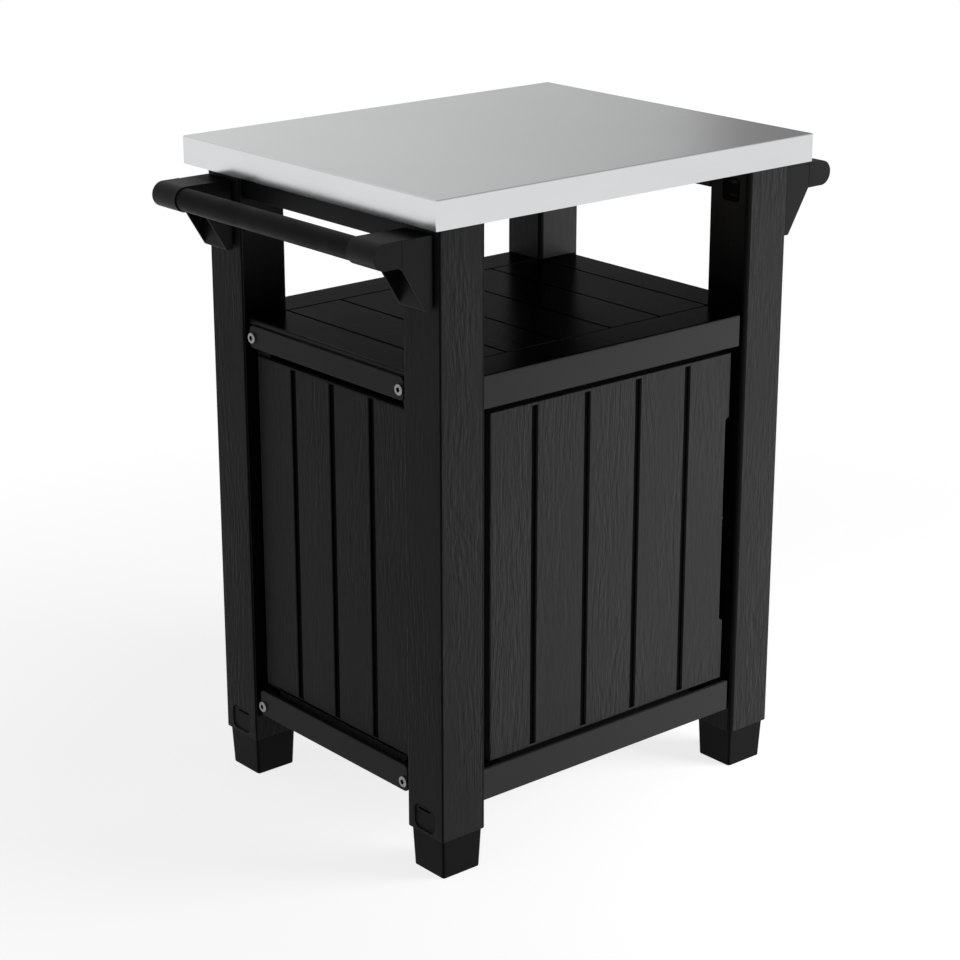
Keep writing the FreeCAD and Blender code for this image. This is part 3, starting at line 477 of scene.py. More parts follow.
    def paint(self, zone: Extent, finish: int = DARK) -> None:
        """Gives the faces that have their middle in a box another of the piece's finishes.

        Args:
            zone: The box that holds their middles.
            finish: Which finish, where 0 is the piece's first.
        """
        for face in self.mesh.faces:
            if zone.holds(face.calc_center_median()):
                face.material_index = finish

    def mirrored(self, side: Side, end: End = End.REAR) -> None:
        """Turns a right rear shape into that of another side or end.

        Args:
            side: The side of the cart that it is for.
            end: The end of the cart that it is for.
        """
        bmesh.ops.scale(self.mesh, vec=(side.value, end.value, 1), verts=self.mesh.verts)
        self.face_outwards()

    def laid_along(self, axis: Axis) -> None:
        """Turns a shape that stands on the Z axis so that its Z runs along another axis."""
        turn = Vector((0, 0, 1)).rotation_difference(axis.unit).to_matrix()
        bmesh.ops.rotate(self.mesh, cent=(0, 0, 0), matrix=turn, verts=self.mesh.verts)

    def carried(self, place: Vector) -> None:
        """Moves the whole shape by a vector."""
        bmesh.ops.translate(self.mesh, vec=place, verts=self.mesh.verts)


def corners_of(faces: Iterable[bmesh.types.BMFace]) -> list[bmesh.types.BMVert]:
    """The corners of some faces, each once."""
    return list({vert for face in faces for vert in face.verts})


@dataclass
class Piece:
    """A shape with everything that its finished object needs."""

    name: str
    shape: Shape
    finish: "Finish"
    stands_for: tuple[str, ...]
    body: Body = Body.CART
    smooth_below: float = 50.0
    more_finishes: tuple["Finish", ...] = ()

    def set_down(self) -> bpy.types.Object:
        """Makes the finished object, in metres.

        Returns:
            The object, riding on its body.
        """
        mesh = bpy.data.meshes.new(self.name)
        bmesh.ops.scale(self.shape.mesh, vec=(MILLIMETRE,) * 3, verts=self.shape.mesh.verts)
        self.shape.mesh.to_mesh(mesh)
        self.shape.mesh.free()
        mesh.shade_smooth()
        mesh.set_sharp_from_angle(angle=math.radians(self.smooth_below))
        for finish in (self.finish, *self.more_finishes):
            mesh.materials.append(finish.material())
        made = bpy.data.objects.new(self.name, mesh)
        bpy.context.scene.collection.objects.link(made)
        normals = made.modifiers.new("flat faces stay flat", "WEIGHTED_NORMAL")
        normals.keep_sharp = True
        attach(made, self.body.value)
        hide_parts(*self.stands_for)
        LOG.info("%s: %d faces, %s", self.name, len(mesh.polygons), self.finish.name)
        return made


# Shader nodes

# The places of a Mix node's factor, two colours and mixed colour among its sockets
MIX_FACTOR = 0
MIX_FIRST = 6
MIX_SECOND = 7
MIX_RESULT = 2


class Tree:
    """A node tree that is built by short calls."""

    def __init__(self, tree: bpy.types.NodeTree) -> None:
        """Wraps a node tree and empties it.

        Args:
            tree: The tree to build in.
        """
        self.tree = tree
        tree.nodes.clear()

    def add(self, kind: str, settings: dict[str, Any] | None = None, **inputs: Any) -> bpy.types.Node:
        """Adds a node.

        Args:
            kind: The node's type in Blender.
            settings: Its properties.
            **inputs: Its inputs by name, with _ for a space, as a value or another node's output.

        Returns:
            The node.
        """
        node = self.tree.nodes.new(kind)
        for name, value in (settings or {}).items():
            setattr(node, name, value)
        for name, value in inputs.items():
            self.feed(node.inputs[name.replace("_", " ")], value)
        return node

    def feed(self, socket: bpy.types.NodeSocket, value: Any) -> None:
        """Gives an input its value, or links another node's output to it.

        Args:
            socket: The input.
            value: Its value, another node's output, or None to leave the input alone.
        """
        if isinstance(value, bpy.types.NodeSocket):
            self.tree.links.new(value, socket)
        elif value is not None:
            socket.default_value = value

    def math(self, operation: str, *values: Any, clamp: bool = False) -> bpy.types.NodeSocket:
        """Adds a sum on numbers.

        Args:
            operation: The Math node's operation.
            *values: Its inputs in order.
            clamp: Whether the result is kept from 0 to 1.

        Returns:
            The result.
        """
        node = self.tree.nodes.new("ShaderNodeMath")
        node.operation = operation
        node.use_clamp = clamp
        for socket, value in zip(node.inputs, values):
            self.feed(socket, value)
        return node.outputs[0]

    def remap(
        self, value: Any, source: tuple[float, float], target: tuple[float, float] = (0.0, 1.0)
    ) -> bpy.types.NodeSocket:
        """Carries a range of values over to another range, with ends held.

        Args:
            value: The value.
            source: The range that it has.
            target: The range that it gets.

        Returns:
            The new value.
        """
        node = self.add(
            "ShaderNodeMapRange", {"clamp": True}, Value=value,
            From_Min=source[0], From_Max=source[1], To_Min=target[0], To_Max=target[1],
        )
        return node.outputs["Result"]

    def blend(self, factor: Any, first: Any, second: Any) -> bpy.types.NodeSocket:
        """Mixes two colours.

        Args:
            factor: How much of the second there is.
            first: The first colour.
            second: The second colour.

        Returns:
            The mixed colour.
        """
        node = self.tree.nodes.new("ShaderNodeMix")
        node.data_type = "RGBA"
        self.feed(node.inputs[MIX_FACTOR], factor)
        self.feed(node.inputs[MIX_FIRST], rgba(first))
        self.feed(node.inputs[MIX_SECOND], rgba(second))
        return node.outputs[MIX_RESULT]

    def vectors(self, operation: str, first: Any, second: Any) -> bpy.types.Node:
        """Adds a sum on two vectors.

        Args:
            operation: The Vector Math node's operation.
            first: The first vector.
            second: The second vector.

        Returns:
            The node.
        """
        node = self.add("ShaderNodeVectorMath", {"operation": operation})
        self.feed(node.inputs[0], first)
        self.feed(node.inputs[1], second)
        return node

    def noise(self, position: Any, scale: Any, detail: float = 2.0, **more: Any) -> bpy.types.NodeSocket:
        """Adds a noise pattern.

        Args:
            position: The position that it follows.
            scale: How fine it is.
            detail: How many finer patterns are laid over it.
            **more: Further inputs by name.

        Returns:
            Its strength, from 0 to 1.
        """
        node = self.add("ShaderNodeTexNoise", Vector=position, Scale=scale, Detail=detail, **more)
        return node.outputs["Fac"]

    def mixed(self, factor: Any, first: bpy.types.Node, second: bpy.types.Node) -> bpy.types.Node:
        """Mixes two shaders.

        Args:
            factor: How much of the second there is.
            first: The first shader.
            second: The second shader.

        Returns:
            The mixed shader.
        """
        node = self.add("ShaderNodeMixShader", Fac=factor)
        self.feed(node.inputs[1], first.outputs[0])
        self.feed(node.inputs[2], second.outputs[0])
        return node

    def stretched(self, vector: Any, scale: Sequence[float]) -> bpy.types.NodeSocket:
        """Scales a position by a factor on each axis."""
        return self.add("ShaderNodeMapping", Vector=vector, Scale=tuple(scale)).outputs[0]


def rgba(colour: Any) -> Any:
    """A colour of three values with its alpha added; a node's output is left as it is."""
    return (*colour, 1.0) if isinstance(colour, tuple) and len(colour) == 3 else colour


class Effect(ABC):
    """A pattern that several finishes share, kept as one node group."""

    name: str
    inputs: dict[str, float]
    outputs: tuple[str, ...]

    @classmethod
    def group(cls) -> bpy.types.NodeTree:
        """The effect's node group, made the first time it is asked for.

        Returns:
            The node group.
        """
        found = bpy.data.node_groups.get(cls.name)
        if found:
            return found
        made = bpy.data.node_groups.new(cls.name, "ShaderNodeTree")
        made.interface.new_socket("Position", in_out="INPUT", socket_type="NodeSocketVector")
        for name, value in cls.inputs.items():
            socket = made.interface.new_socket(name, in_out="INPUT", socket_type="NodeSocketFloat")
            socket.default_value = value
        for name in cls.outputs:
            made.interface.new_socket(name, in_out="OUTPUT", socket_type="NodeSocketFloat")
        tree = Tree(made)
        given = tree.add("NodeGroupInput")
        results = cls.build(tree, given.outputs)
        end = tree.add("NodeGroupOutput")
        for name, result in zip(cls.outputs, results):
            tree.feed(end.inputs[name], result)
        return made

    @classmethod
    @abstractmethod
    def build(cls, tree: Tree, given: Any) -> Sequence[bpy.types.NodeSocket]:
        """Makes the effect's nodes.

        Args:
            tree: The tree to build in.
            given: The group's inputs.

        Returns:
            The group's results, in the order of its outputs.
        """

    @classmethod
    def placed(cls, tree: Tree, position: Any, **values: Any) -> Any:
        """Puts the effect into a material.

        Args:
            tree: The material's tree.
            position: The position that the pattern follows.
            **values: Its inputs by name, with _ for a space.

        Returns:
            The outputs of the effect.
        """
        node = tree.add("ShaderNodeGroup", {"node_tree": cls.group()}, Position=position, **values)
        return node.outputs


class WoodGrain(Effect):
    """Moulded wood grain: short streaks along Z, with a few wandering figure lines and smooth patches."""

    name = "wood grain"
    inputs = {"Streak Width": 0.0032, "Streak Length": 0.018, "Figure Width": 0.011}
    outputs = ("Height",)
    wander_scale = 7.0
    wander_reach = 0.02
    streak_scale = 0.6
    streak_roughness = 0.55
    contour_stretch = (14.0, 14.0, 1.6)
    contour_reach = 0.16
    figure_depth = 0.35
    patch_stretch = (16.0, 16.0, 5.0)

    @classmethod
    def build(cls, tree: Tree, given: Any) -> Sequence[bpy.types.NodeSocket]:
        """Streaks from stretched noise, and figure lines from the contours of a slow one.

        Args:
            tree: The tree to build in.
            given: The group's inputs.

        Returns:
            The relief.
        """
        position = given["Position"]
        wander = tree.add("ShaderNodeTexNoise", Vector=position, Scale=cls.wander_scale, Detail=1.0)
        bend = tree.add("ShaderNodeVectorMath", {"operation": "SCALE"},
                        Vector=wander.outputs["Color"], Scale=cls.wander_reach)
        place = tree.vectors("ADD", position, bend.outputs[0]).outputs[0]
        across = tree.math("DIVIDE", 1.0, given["Streak Width"])
        along = tree.math("DIVIDE", 1.0, given["Streak Length"])
        scale = tree.add("ShaderNodeCombineXYZ", X=across, Y=across, Z=along).outputs[0]
        fine = tree.vectors("MULTIPLY", place, scale).outputs[0]
        streaks = tree.noise(fine, cls.streak_scale, Roughness=cls.streak_roughness)
        contour = tree.noise(tree.stretched(place, cls.contour_stretch), 1.0, 0.0)
        count = tree.math("DIVIDE", cls.contour_reach, given["Figure Width"])
        turns = tree.math("MULTIPLY", count, math.tau)
        waves = tree.math("SINE", tree.math("MULTIPLY", contour, turns))
        figure = tree.remap(waves, (0.55, 1.0))
        patches = tree.noise(tree.stretched(place, cls.patch_stretch), 1.0)
        patch = tree.remap(patches, (0.38, 0.62), (0.25, 1.0))
        cut = tree.remap(streaks, (0.36, 0.66))
        pattern = tree.math("SUBTRACT", cut, tree.math("MULTIPLY", figure, cls.figure_depth))
        return (tree.math("MULTIPLY", pattern, patch),)


class Smudges(Effect):
    """Soft cloudy variation, from 0 to 1."""

    name = "smudges"
    inputs = {"Size": 0.12}
    outputs = ("Amount",)

    @classmethod
    def build(cls, tree: Tree, given: Any) -> Sequence[bpy.types.NodeSocket]:
        """Soft distorted noise.

        Args:
            tree: The tree to build in.
            given: The group's inputs.

        Returns:
            The amount.
        """
        scale = tree.math("DIVIDE", 1.0, given["Size"])
        cloud = tree.noise(given["Position"], scale, 3.0, Distortion=0.6)
        return (tree.remap(cloud, (0.3, 0.7)),)


class Speckle(Effect):
    """The fine pitting of a moulded or sprayed surface."""

    name = "speckle"
    inputs = {"Size": 0.0012}
    outputs = ("Height",)

    @classmethod
    def build(cls, tree: Tree, given: Any) -> Sequence[bpy.types.NodeSocket]:
        """Fine even noise."""
        scale = tree.math("DIVIDE", 1.0, given["Size"])
        return (tree.noise(given["Position"], scale, 1.0),)


class EdgeMask(Effect):
    """A mask that is 1 on edges and creases, broken up by noise, and 0 on flat faces."""

    name = "edge mask"
    inputs = {"Width": 0.0015, "Spread": 0.03}
    outputs = ("Mask",)

    @classmethod
    def build(cls, tree: Tree, given: Any) -> Sequence[bpy.types.NodeSocket]:
        """Where a rounded normal leaves the true one, broken up by noise.

        Args:
            tree: The tree to build in.
            given: The group's inputs.

        Returns:
            The mask.
        """
        rounded = tree.add("ShaderNodeBevel", {"samples": 4}, Radius=given["Width"])
        flat = tree.add("ShaderNodeNewGeometry")
        turn = tree.vectors("DOT_PRODUCT", rounded.outputs["Normal"], flat.outputs["True Normal"])
        edge = tree.remap(turn.outputs["Value"], (0.99, 0.85))
        scale = tree.math("DIVIDE", 1.0, given["Spread"])
        rub = tree.noise(given["Position"], scale, 4.0)
        return (tree.math("MULTIPLY", edge, tree.remap(rub, (0.42, 0.62), (0.5, 1.0))),)


class BrushedLines(Effect):
    """Fine lines along X, as a sheet mill leaves them."""

    name = "brushed lines"
    inputs = {"Line Width": 0.0006, "Line Length": 0.08}
    outputs = ("Height",)

    @classmethod
    def build(cls, tree: Tree, given: Any) -> Sequence[bpy.types.NodeSocket]:
        """Noise drawn out along X.

        Args:
            tree: The tree to build in.
            given: The group's inputs.

        Returns:
            The relief.
        """
        across = tree.math("DIVIDE", 1.0, given["Line Width"])
        along = tree.math("DIVIDE", 1.0, given["Line Length"])
        scale = tree.add("ShaderNodeCombineXYZ", X=along, Y=across, Z=across).outputs[0]
        place = tree.vectors("MULTIPLY", given["Position"], scale).outputs[0]
        return (tree.noise(place, 1.0, 3.0),)


# Finishes

class Grain(Enum):
    """Which way the moulded grain runs, as the turn that brings it to Z."""

    UPRIGHT = (0.0, 0.0, 0.0)
    FRONT_TO_BACK = (math.pi / 2, 0.0, 0.0)


@dataclass(frozen=True)
class Finish(ABC):
    """What a surface is made of."""

    name: str
    slot: Slot
    colour: Colour
    roughness: float

    def material(self) -> bpy.types.Material:
        """The finish's material, made the first time it is asked for.

        Returns:
            The material.
        """
        found = bpy.data.materials.get(self.name)
        if found:
            return found
        made = bpy.data.materials.new(self.name)
        made.use_nodes = True
        tree = Tree(made.node_tree)
        place = tree.add("ShaderNodeTexCoord").outputs["Object"]
        shader = tree.add("ShaderNodeBsdfPrincipled")
        self.dress(tree, shader, place)
        tree.add("ShaderNodeOutputMaterial", Surface=shader.outputs[0])
        return made

    @abstractmethod
    def dress(self, tree: Tree, shader: bpy.types.Node, place: bpy.types.NodeSocket) -> None:
        """Feeds the shader.

        Args:
            tree: The material's tree.
            shader: Its Principled shader.
            place: The position on the piece, in metres.
        """

    def shade(self, factor: float) -> Colour:
        """The finish's colour made darker or paler by a factor."""
        return tuple(channel * factor for channel in self.colour)

    def uneven(self, tree: Tree, amount: Any, least: float, most: float) -> bpy.types.NodeSocket:
        """The finish's roughness, which varies by a little where the amount goes from 0 to 1."""
        return tree.remap(amount, (0.0, 1.0), (self.roughness + least, self.roughness + most))

    @staticmethod
    def coat(
        tree: Tree, shader: bpy.types.Node, colour: Any, roughness: Any, height: Any, depth: float
    ) -> None:
        """Gives the shader its colour, roughness and relief.

        Args:
            tree: The material's tree.
            shader: Its Principled shader.
            colour: The colour.
            roughness: The roughness.
            height: The pattern of the relief.
            depth: How deep the relief is, in metres.
        """
        tree.feed(shader.inputs["Base Color"], colour)
        tree.feed(shader.inputs["Roughness"], roughness)
        bump = tree.add("ShaderNodeBump", Height=height, Distance=depth, Strength=1.0)
        tree.feed(shader.inputs["Normal"], bump.outputs[0])


@dataclass(frozen=True)
class Resin(Finish):
    """Moulded resin, with wood grain or a fine leather pitting."""

    grain: Grain | None = Grain.UPRIGHT
    grain_depth: float = 0.0009
    tone: float = 0.2
    sheen_level: float = 0.3
    # The heights, in metres, between which a painted shade takes the colour from nearly black up to its own
    darkens: tuple[float, float] | None = None
    darkest: float = 0.03
    pit_depth: float = 0.00004
    pit_share: float = 0.12
    smudge_size: float = 0.15
    smudge_share: float = 0.15
    wear_width: float = 0.0018
    dark: float = 0.8
    pale: float = 1.45
    # Along edges and creases the colour darkens to this share of its own, a painted shade; the lower
    # roughness there is wear
    rubbed: float = 0.3
    rubbed_gloss: float = 0.1
    unevenness: float = 0.04

    def dress(self, tree: Tree, shader: bpy.types.Node, place: bpy.types.NodeSocket) -> None:
        """Dark resin whose grain shows in its colour, gloss and relief.

        Args:
            tree: The material's tree.
            shader: Its Principled shader.
            place: The position on the piece, in metres.
        """
        shader.inputs["Specular IOR Level"].default_value = self.sheen_level
        smudge = Smudges.placed(tree, place, Size=self.smudge_size)["Amount"]
        grit = Speckle.placed(tree, place)["Height"]
        edge_mask = EdgeMask.placed(tree, place, Width=self.wear_width)["Mask"]
        height, depth = grit, self.pit_depth
        light = tree.math("MULTIPLY", smudge, self.smudge_share)
        if self.grain:
            turned = tree.add("ShaderNodeMapping", Vector=place, Rotation=self.grain.value).outputs[0]
            streaks = WoodGrain.placed(tree, turned)["Height"]
            height = tree.math("ADD", tree.math("MULTIPLY", grit, self.pit_share), streaks)
            depth = self.grain_depth
            light = tree.math("ADD", light, tree.math("MULTIPLY", streaks, self.tone))
        colour = tree.blend(light, self.shade(self.dark), self.shade(self.pale))
        # Painted shade, darker towards the bottom
        if self.darkens:
            height_up = tree.add("ShaderNodeSeparateXYZ", Vector=place).outputs["Z"]
            share = tree.remap(height_up, self.darkens, (self.darkest, 1.0))
            colour = tree.blend(share, BLACK, colour)
        rough = self.uneven(tree, smudge, -self.unevenness, self.unevenness)
        glossed = tree.math("SUBTRACT", rough, tree.math("MULTIPLY", edge_mask, self.rubbed_gloss))
        # Painted shade along edges and creases
        self.coat(tree, shader, tree.blend(edge_mask, colour, self.shade(self.rubbed)), glossed, height, depth)


@dataclass(frozen=True)
class SheetSteel(Finish):
    """Stainless sheet with a fine milled line."""

    line_depth: float = 0.00001
    line_shade: float = 0.93
    rubbed: float = 1.08
    smudge_size: float = 0.25
    wear_width: float = 0.001
    unevenness: float = 0.15

    def dress(self, tree: Tree, shader: bpy.types.Node, place: bpy.types.NodeSocket) -> None:
        """Bright metal with faint lines, smudges and rubbed bends.

        Args:
            tree: The material's tree.
            shader: Its Principled shader.
            place: The position on the piece, in metres.
        """
        shader.inputs["Metallic"].default_value = 1.0
        smudge = Smudges.placed(tree, place, Size=self.smudge_size)["Amount"]
        lines = BrushedLines.placed(tree, place)["Height"]
        edge_mask = EdgeMask.placed(tree, place, Width=self.wear_width)["Mask"]
        tone = tree.blend(tree.math("MULTIPLY", lines, smudge), self.colour, self.shade(self.line_shade))
        bright = tuple(min(channel, 1.0) for channel in self.shade(self.rubbed))
        change = self.roughness * self.unevenness
        rough = self.uneven(tree, smudge, -change, change)
        self.coat(tree, shader, tree.blend(edge_mask, tone, bright), rough, lines, self.line_depth)


@dataclass(frozen=True)
class Enamel(Finish):
    """Black powder coat on the handle bars."""

    sheen_level: float = 0.04
    smudge_size: float = 0.05
    peel_size: float = 0.0016
    peel_depth: float = 0.00003
    pale: float = 1.3
    unevenness: float = 0.05

    def dress(self, tree: Tree, shader: bpy.types.Node, place: bpy.types.NodeSocket) -> None:
        """Dark coat with fine orange peel and hand-rubbed patches.

        Args:
            tree: The material's tree.
            shader: Its Principled shader.
            place: The position on the piece, in metres.
        """
        shader.inputs["Specular IOR Level"].default_value = self.sheen_level
        smudge = Smudges.placed(tree, place, Size=self.smudge_size)["Amount"]
        peel = Speckle.placed(tree, place, Size=self.peel_size)["Height"]
        colour = tree.blend(smudge, self.colour, self.shade(self.pale))
        rough = self.uneven(tree, smudge, self.unevenness, -self.unevenness)
        self.coat(tree, shader, colour, rough, peel, self.peel_depth)


@dataclass(frozen=True)
class TurnedSteel(Finish):
    """Plain or plated steel of screws and pins."""

    smudge_size: float = 0.006
    pit_size: float = 0.0006
    pit_depth: float = 0.00002
    dull: float = 0.75
    unevenness: float = 0.08

    def dress(self, tree: Tree, shader: bpy.types.Node, place: bpy.types.NodeSocket) -> None:
        """Grey metal with fine pits and dull patches.

        Args:
            tree: The material's tree.
            shader: Its Principled shader.
            place: The position on the piece, in metres.
        """
        shader.inputs["Metallic"].default_value = 1.0
        smudge = Smudges.placed(tree, place, Size=self.smudge_size)["Amount"]
        grit = Speckle.placed(tree, place, Size=self.pit_size)["Height"]
        colour = tree.blend(smudge, self.colour, self.shade(self.dull))
        rough = self.uneven(tree, smudge, -self.unevenness, self.unevenness)
        self.coat(tree, shader, colour, rough, grit, self.pit_depth)


@dataclass(frozen=True)
class Fibreboard(Finish):
    """The sealed board under the steel."""

    fibre_width: float = 0.0012
    fibre_length: float = 0.004
    fibre_depth: float = 0.0001
    smudge_size: float = 0.08
    pale: float = 1.35
    unevenness: float = 0.1

    def dress(self, tree: Tree, shader: bpy.types.Node, place: bpy.types.NodeSocket) -> None:
        """Matt board with a felted surface of short fibres.

        Args:
            tree: The material's tree.
            shader: Its Principled shader.
            place: The position on the piece, in metres.
        """
        grain = WoodGrain.placed(tree, place, Streak_Width=self.fibre_width, Streak_Length=self.fibre_length)
        fibres = grain["Height"]
        smudge = Smudges.placed(tree, place, Size=self.smudge_size)["Amount"]
        mixed = tree.math("MULTIPLY", tree.math("ADD", fibres, smudge), 0.5)
        colour = tree.blend(mixed, self.colour, self.shade(self.pale))
        rough = self.uneven(tree, smudge, 0.0, self.unevenness)
        self.coat(tree, shader, colour, rough, fibres, self.fibre_depth)


RESIN_BLACK = (0.028, 0.028, 0.029)
DEEP_BLACK = (0.0085, 0.0085, 0.0085)
SHADED_GLOSS_BLACK = (0.003, 0.003, 0.003)
GRAINED = Resin("grained resin", Slot.GRAINED_RESIN, RESIN_BLACK, 0.5, sheen_level=0.06)
SIDE_GRAINED = Resin("side grained resin", Slot.GRAINED_RESIN, RESIN_BLACK, 0.5,
                     grain_depth=0.0004, tone=0.1, sheen_level=0.06)
# Painted light and shade on the legs' faces in the open bay: paler than the resin at the top, darkening
# towards the shelf, and paler on the rear right leg
BAY_RIGHT = Resin("right bay resin", Slot.GRAINED_RESIN, (0.042, 0.042, 0.043), 0.5,
                  grain_depth=0.0003, tone=0.05, sheen_level=0.02, darkens=(0.69, 0.825))
BAY_LEFT = Resin("left bay resin", Slot.GRAINED_RESIN, (0.016, 0.016, 0.0165), 0.5,
                 grain_depth=0.0003, tone=0.05, sheen_level=0.02, darkens=(0.675, 0.79))
BAY_REAR = Resin("rear bay resin", Slot.GRAINED_RESIN, (0.045, 0.045, 0.046), 0.5,
                 grain_depth=0.0004, tone=0.1, sheen_level=0.06)
PLANK_BLACK = (0.036, 0.036, 0.037)
# Painted light on the door's hinge-side edge
DOOR_EDGE_LIGHT = Resin("door edge resin", Slot.GRAINED_RESIN, (0.09, 0.09, 0.092), 0.5, None, sheen_level=0.06)
PLANKS = Resin("plank resin", Slot.GRAINED_RESIN, PLANK_BLACK, 0.5,
               grain_depth=0.0007, tone=0.17, sheen_level=0.06)
SIDE_PLANKS = Resin("side plank resin", Slot.GRAINED_RESIN, PLANK_BLACK, 0.5,
                    grain_depth=0.0004, tone=0.1, sheen_level=0.06)
# Painted shade on the bottom of the foot's pocket
POCKET_SHADE = Resin("pocket resin", Slot.GRAINED_RESIN, (0.018, 0.018, 0.018), 0.5, None, sheen_level=0.05)
# Dark painted shade down the corners of the legs
CORNER_SHADE = Resin("corner line resin", Slot.GRAINED_RESIN, (0.009, 0.009, 0.009), 0.5, None, sheen_level=0.03)
# Near black on the shelf's top, darker than the same moulding's upright faces: painted shade from the
# worktop above; the low sheen is the resin's own
SHELF = Resin("shelf resin", Slot.SHELF_RESIN, SHADED_GLOSS_BLACK, 0.25,
              Grain.FRONT_TO_BACK, 0.0001, sheen_level=0.004)
SKIRT = Resin("skirt resin", Slot.SHELF_RESIN, (0.034, 0.034, 0.035), 0.45, None, sheen_level=0.1)
SMOOTH = Resin("smooth resin", Slot.SMOOTH_RESIN, (0.012, 0.012, 0.012), 0.45, None, sheen_level=0.1)
FOOT_RESIN = Resin("foot resin", Slot.SMOOTH_RESIN, DEEP_BLACK, 0.5, None, sheen_level=0.05)
WORKTOP = SheetSteel("worktop steel", Slot.WORKTOP_STEEL, (0.695, 0.70, 0.71), 0.16)
# Near-black painted shade for grooves, recesses, slots, corner blocks and the legs' faces inside the
# cupboard
SHADED = Resin("painted shade resin", Slot.GRAINED_RESIN, (0.004, 0.004, 0.004), 0.6, None, sheen_level=0.02)
MAGNET = Resin("magnet housing resin", Slot.SMOOTH_RESIN, (0.004, 0.004, 0.004), 0.6, None, sheen_level=0.02)
BAR = Enamel("bar enamel", Slot.BAR_ENAMEL, (0.013, 0.013, 0.013), 0.45)
SCREW = TurnedSteel("screw steel", Slot.SCREW_STEEL, (0.3, 0.3, 0.305), 0.35)
# Painted shade in the screws' sockets
SOCKET_SHADE = TurnedSteel("screw socket steel", Slot.SCREW_STEEL, (0.02, 0.02, 0.02), 0.5)
BLACKED = TurnedSteel("blacked steel", Slot.PIN_STEEL, (0.012, 0.012, 0.012), 0.45)
PIN = TurnedSteel("pin steel", Slot.PIN_STEEL, (0.6, 0.6, 0.6), 0.3)
BOARD = Fibreboard("board", Slot.BOARD, (0.12, 0.08, 0.05), 0.7)


# Sub-assemblies

class Assembly(ABC):
    """A group of pieces that belong together on the bench."""

    @abstractmethod
    def pieces(self) -> Iterable[Piece]:
        """The assembly's new pieces."""

    def dressed_nodes(self) -> dict[str, Finish]:
        """The CAD nodes that stay as they are, with their finish."""
        return {}

    def build(self) -> None:
        """Sets down every new piece and gives the nodes that stay their finish."""
        for piece in self.pieces():
            piece.set_down()
        for node, finish in self.dressed_nodes().items():
            dress_node(node, finish)


def dress_node(node: str, finish: Finish) -> None:
    """Gives a CAD node its finish.

    Args:
        node: The node's name.
        finish: What it is made of.
    """
    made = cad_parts[node]
    if not made.material_slots:
        made.data.materials.append(None)
    for slot in made.material_slots:
        slot.material = finish.material()
    LOG.info("%s: kept, %s", node, finish.name)


@dataclass
class Worktop(Assembly):
    """The steel sheet folded over its board, and what carries it."""

    sheet: float = 1.0
    hem: float = 10.0
    bend: float = 1.6
    corner_round: float = 2.0
    seam_margin: float = 0.15
    seam_depth: float = 0.8
    beam_edge: float = 2.0

    def pieces(self) -> Iterable[Piece]:
        """The steel sheet and the two beams."""
        yield Piece("worktop_sheet", self.steel(), WORKTOP, ("steel_top",))
        for side in Side:
            node = f"top_beam_{side.word}"
            yield Piece(f"worktop_beam_{side.word}", self.beam(node), SMOOTH, (node,))

    def steel(self) -> Shape:
        """The folded sheet: bent edges, an open seam at each corner, and a hem turned in.

        Returns:
            The shape.
        """
        box = Extent.of("steel_top")
        shape = Shape.block(box)
        top = Extent(z=Span.thin(box.z.high))
        shape.soften(shape.edges(along=Axis.Z), self.corner_round, 3)
        shape.soften(shape.edges(top, sharper_than=CORNER_ANGLE), self.bend, 4)
        self.open_seams(shape)
        bottom = shape.faces(-Axis.Z.unit)
        bmesh.ops.delete(shape.mesh, geom=bottom, context="FACES_ONLY")
        self.turn_in(shape, box)
        return shape

    def open_seams(self, shape: Shape) -> None:
        """Sinks the middle strip of each upright corner, where two folds meet.

        Args:
            shape: The folded sheet so far.
        """
        shape.mesh.normal_update()
        strips = [
            face for face in shape.mesh.faces
            if abs(face.normal.z) < 0.01 and 0.6 < abs(face.normal.x) < 0.8
        ]
        for strip in strips:
            bmesh.ops.inset_individual(shape.mesh, faces=[strip], thickness=self.seam_margin)
            inwards = Vector((-strip.normal.x, -strip.normal.y, 0)).normalized()
            bmesh.ops.translate(shape.mesh, vec=inwards * self.seam_depth, verts=strip.verts[:])

    def turn_in(self, shape: Shape, box: Extent) -> None:
        """Carries the open lower edge in, up and under the top, so that the sheet has its thickness.

        Args:
            shape: The folded sheet, open below.
            box: The space that it fills.
        """
        edges = [edge for edge in shape.mesh.edges if edge.is_boundary]
        steps = [
            (2 * self.sheet, 0.0),
            (0.0, self.hem),
            (-self.sheet, 0.0),
            (0.0, box.z.length - self.hem - self.sheet),
        ]
        half = box.size / 2
        for inwards, upwards in steps:
            drawn = bmesh.ops.extrude_edge_only(shape.mesh, edges=edges)["geom"]
            verts = [item for item in drawn if isinstance(item, bmesh.types.BMVert)]
            edges = [item for item in drawn if isinstance(item, bmesh.types.BMEdge)]
            factor = Vector(((half.x - inwards) / half.x, (half.y - inwards) / half.y, 1.0))
            bmesh.ops.scale(shape.mesh, vec=factor, verts=verts)
            bmesh.ops.translate(shape.mesh, vec=(0, 0, upwards), verts=verts)
        bmesh.ops.contextual_create(shape.mesh, geom=edges)
        shape.face_outwards()

    def beam(self, node: str) -> Shape:
        """A side beam with rounded lower edges.

        Args:
            node: The beam's node.

        Returns:
            The shape.
        """
        box = Extent.of(node)
        shape = Shape.block(box)
        low = Extent(z=Span.thin(box.z.low))
        shape.soften(shape.edges(low), self.beam_edge)
        return shape

    def dressed_nodes(self) -> dict[str, Finish]:
        """The board, its screws and the corner blocks."""
        kept: dict[str, Finish] = {"top_board": BOARD, "board_screws": SCREW, "beam_screws": SCREW}
        for end, side in CORNERS:
            kept[f"top_corner_block_{end.word}_{side.word}"] = SMOOTH
        return kept


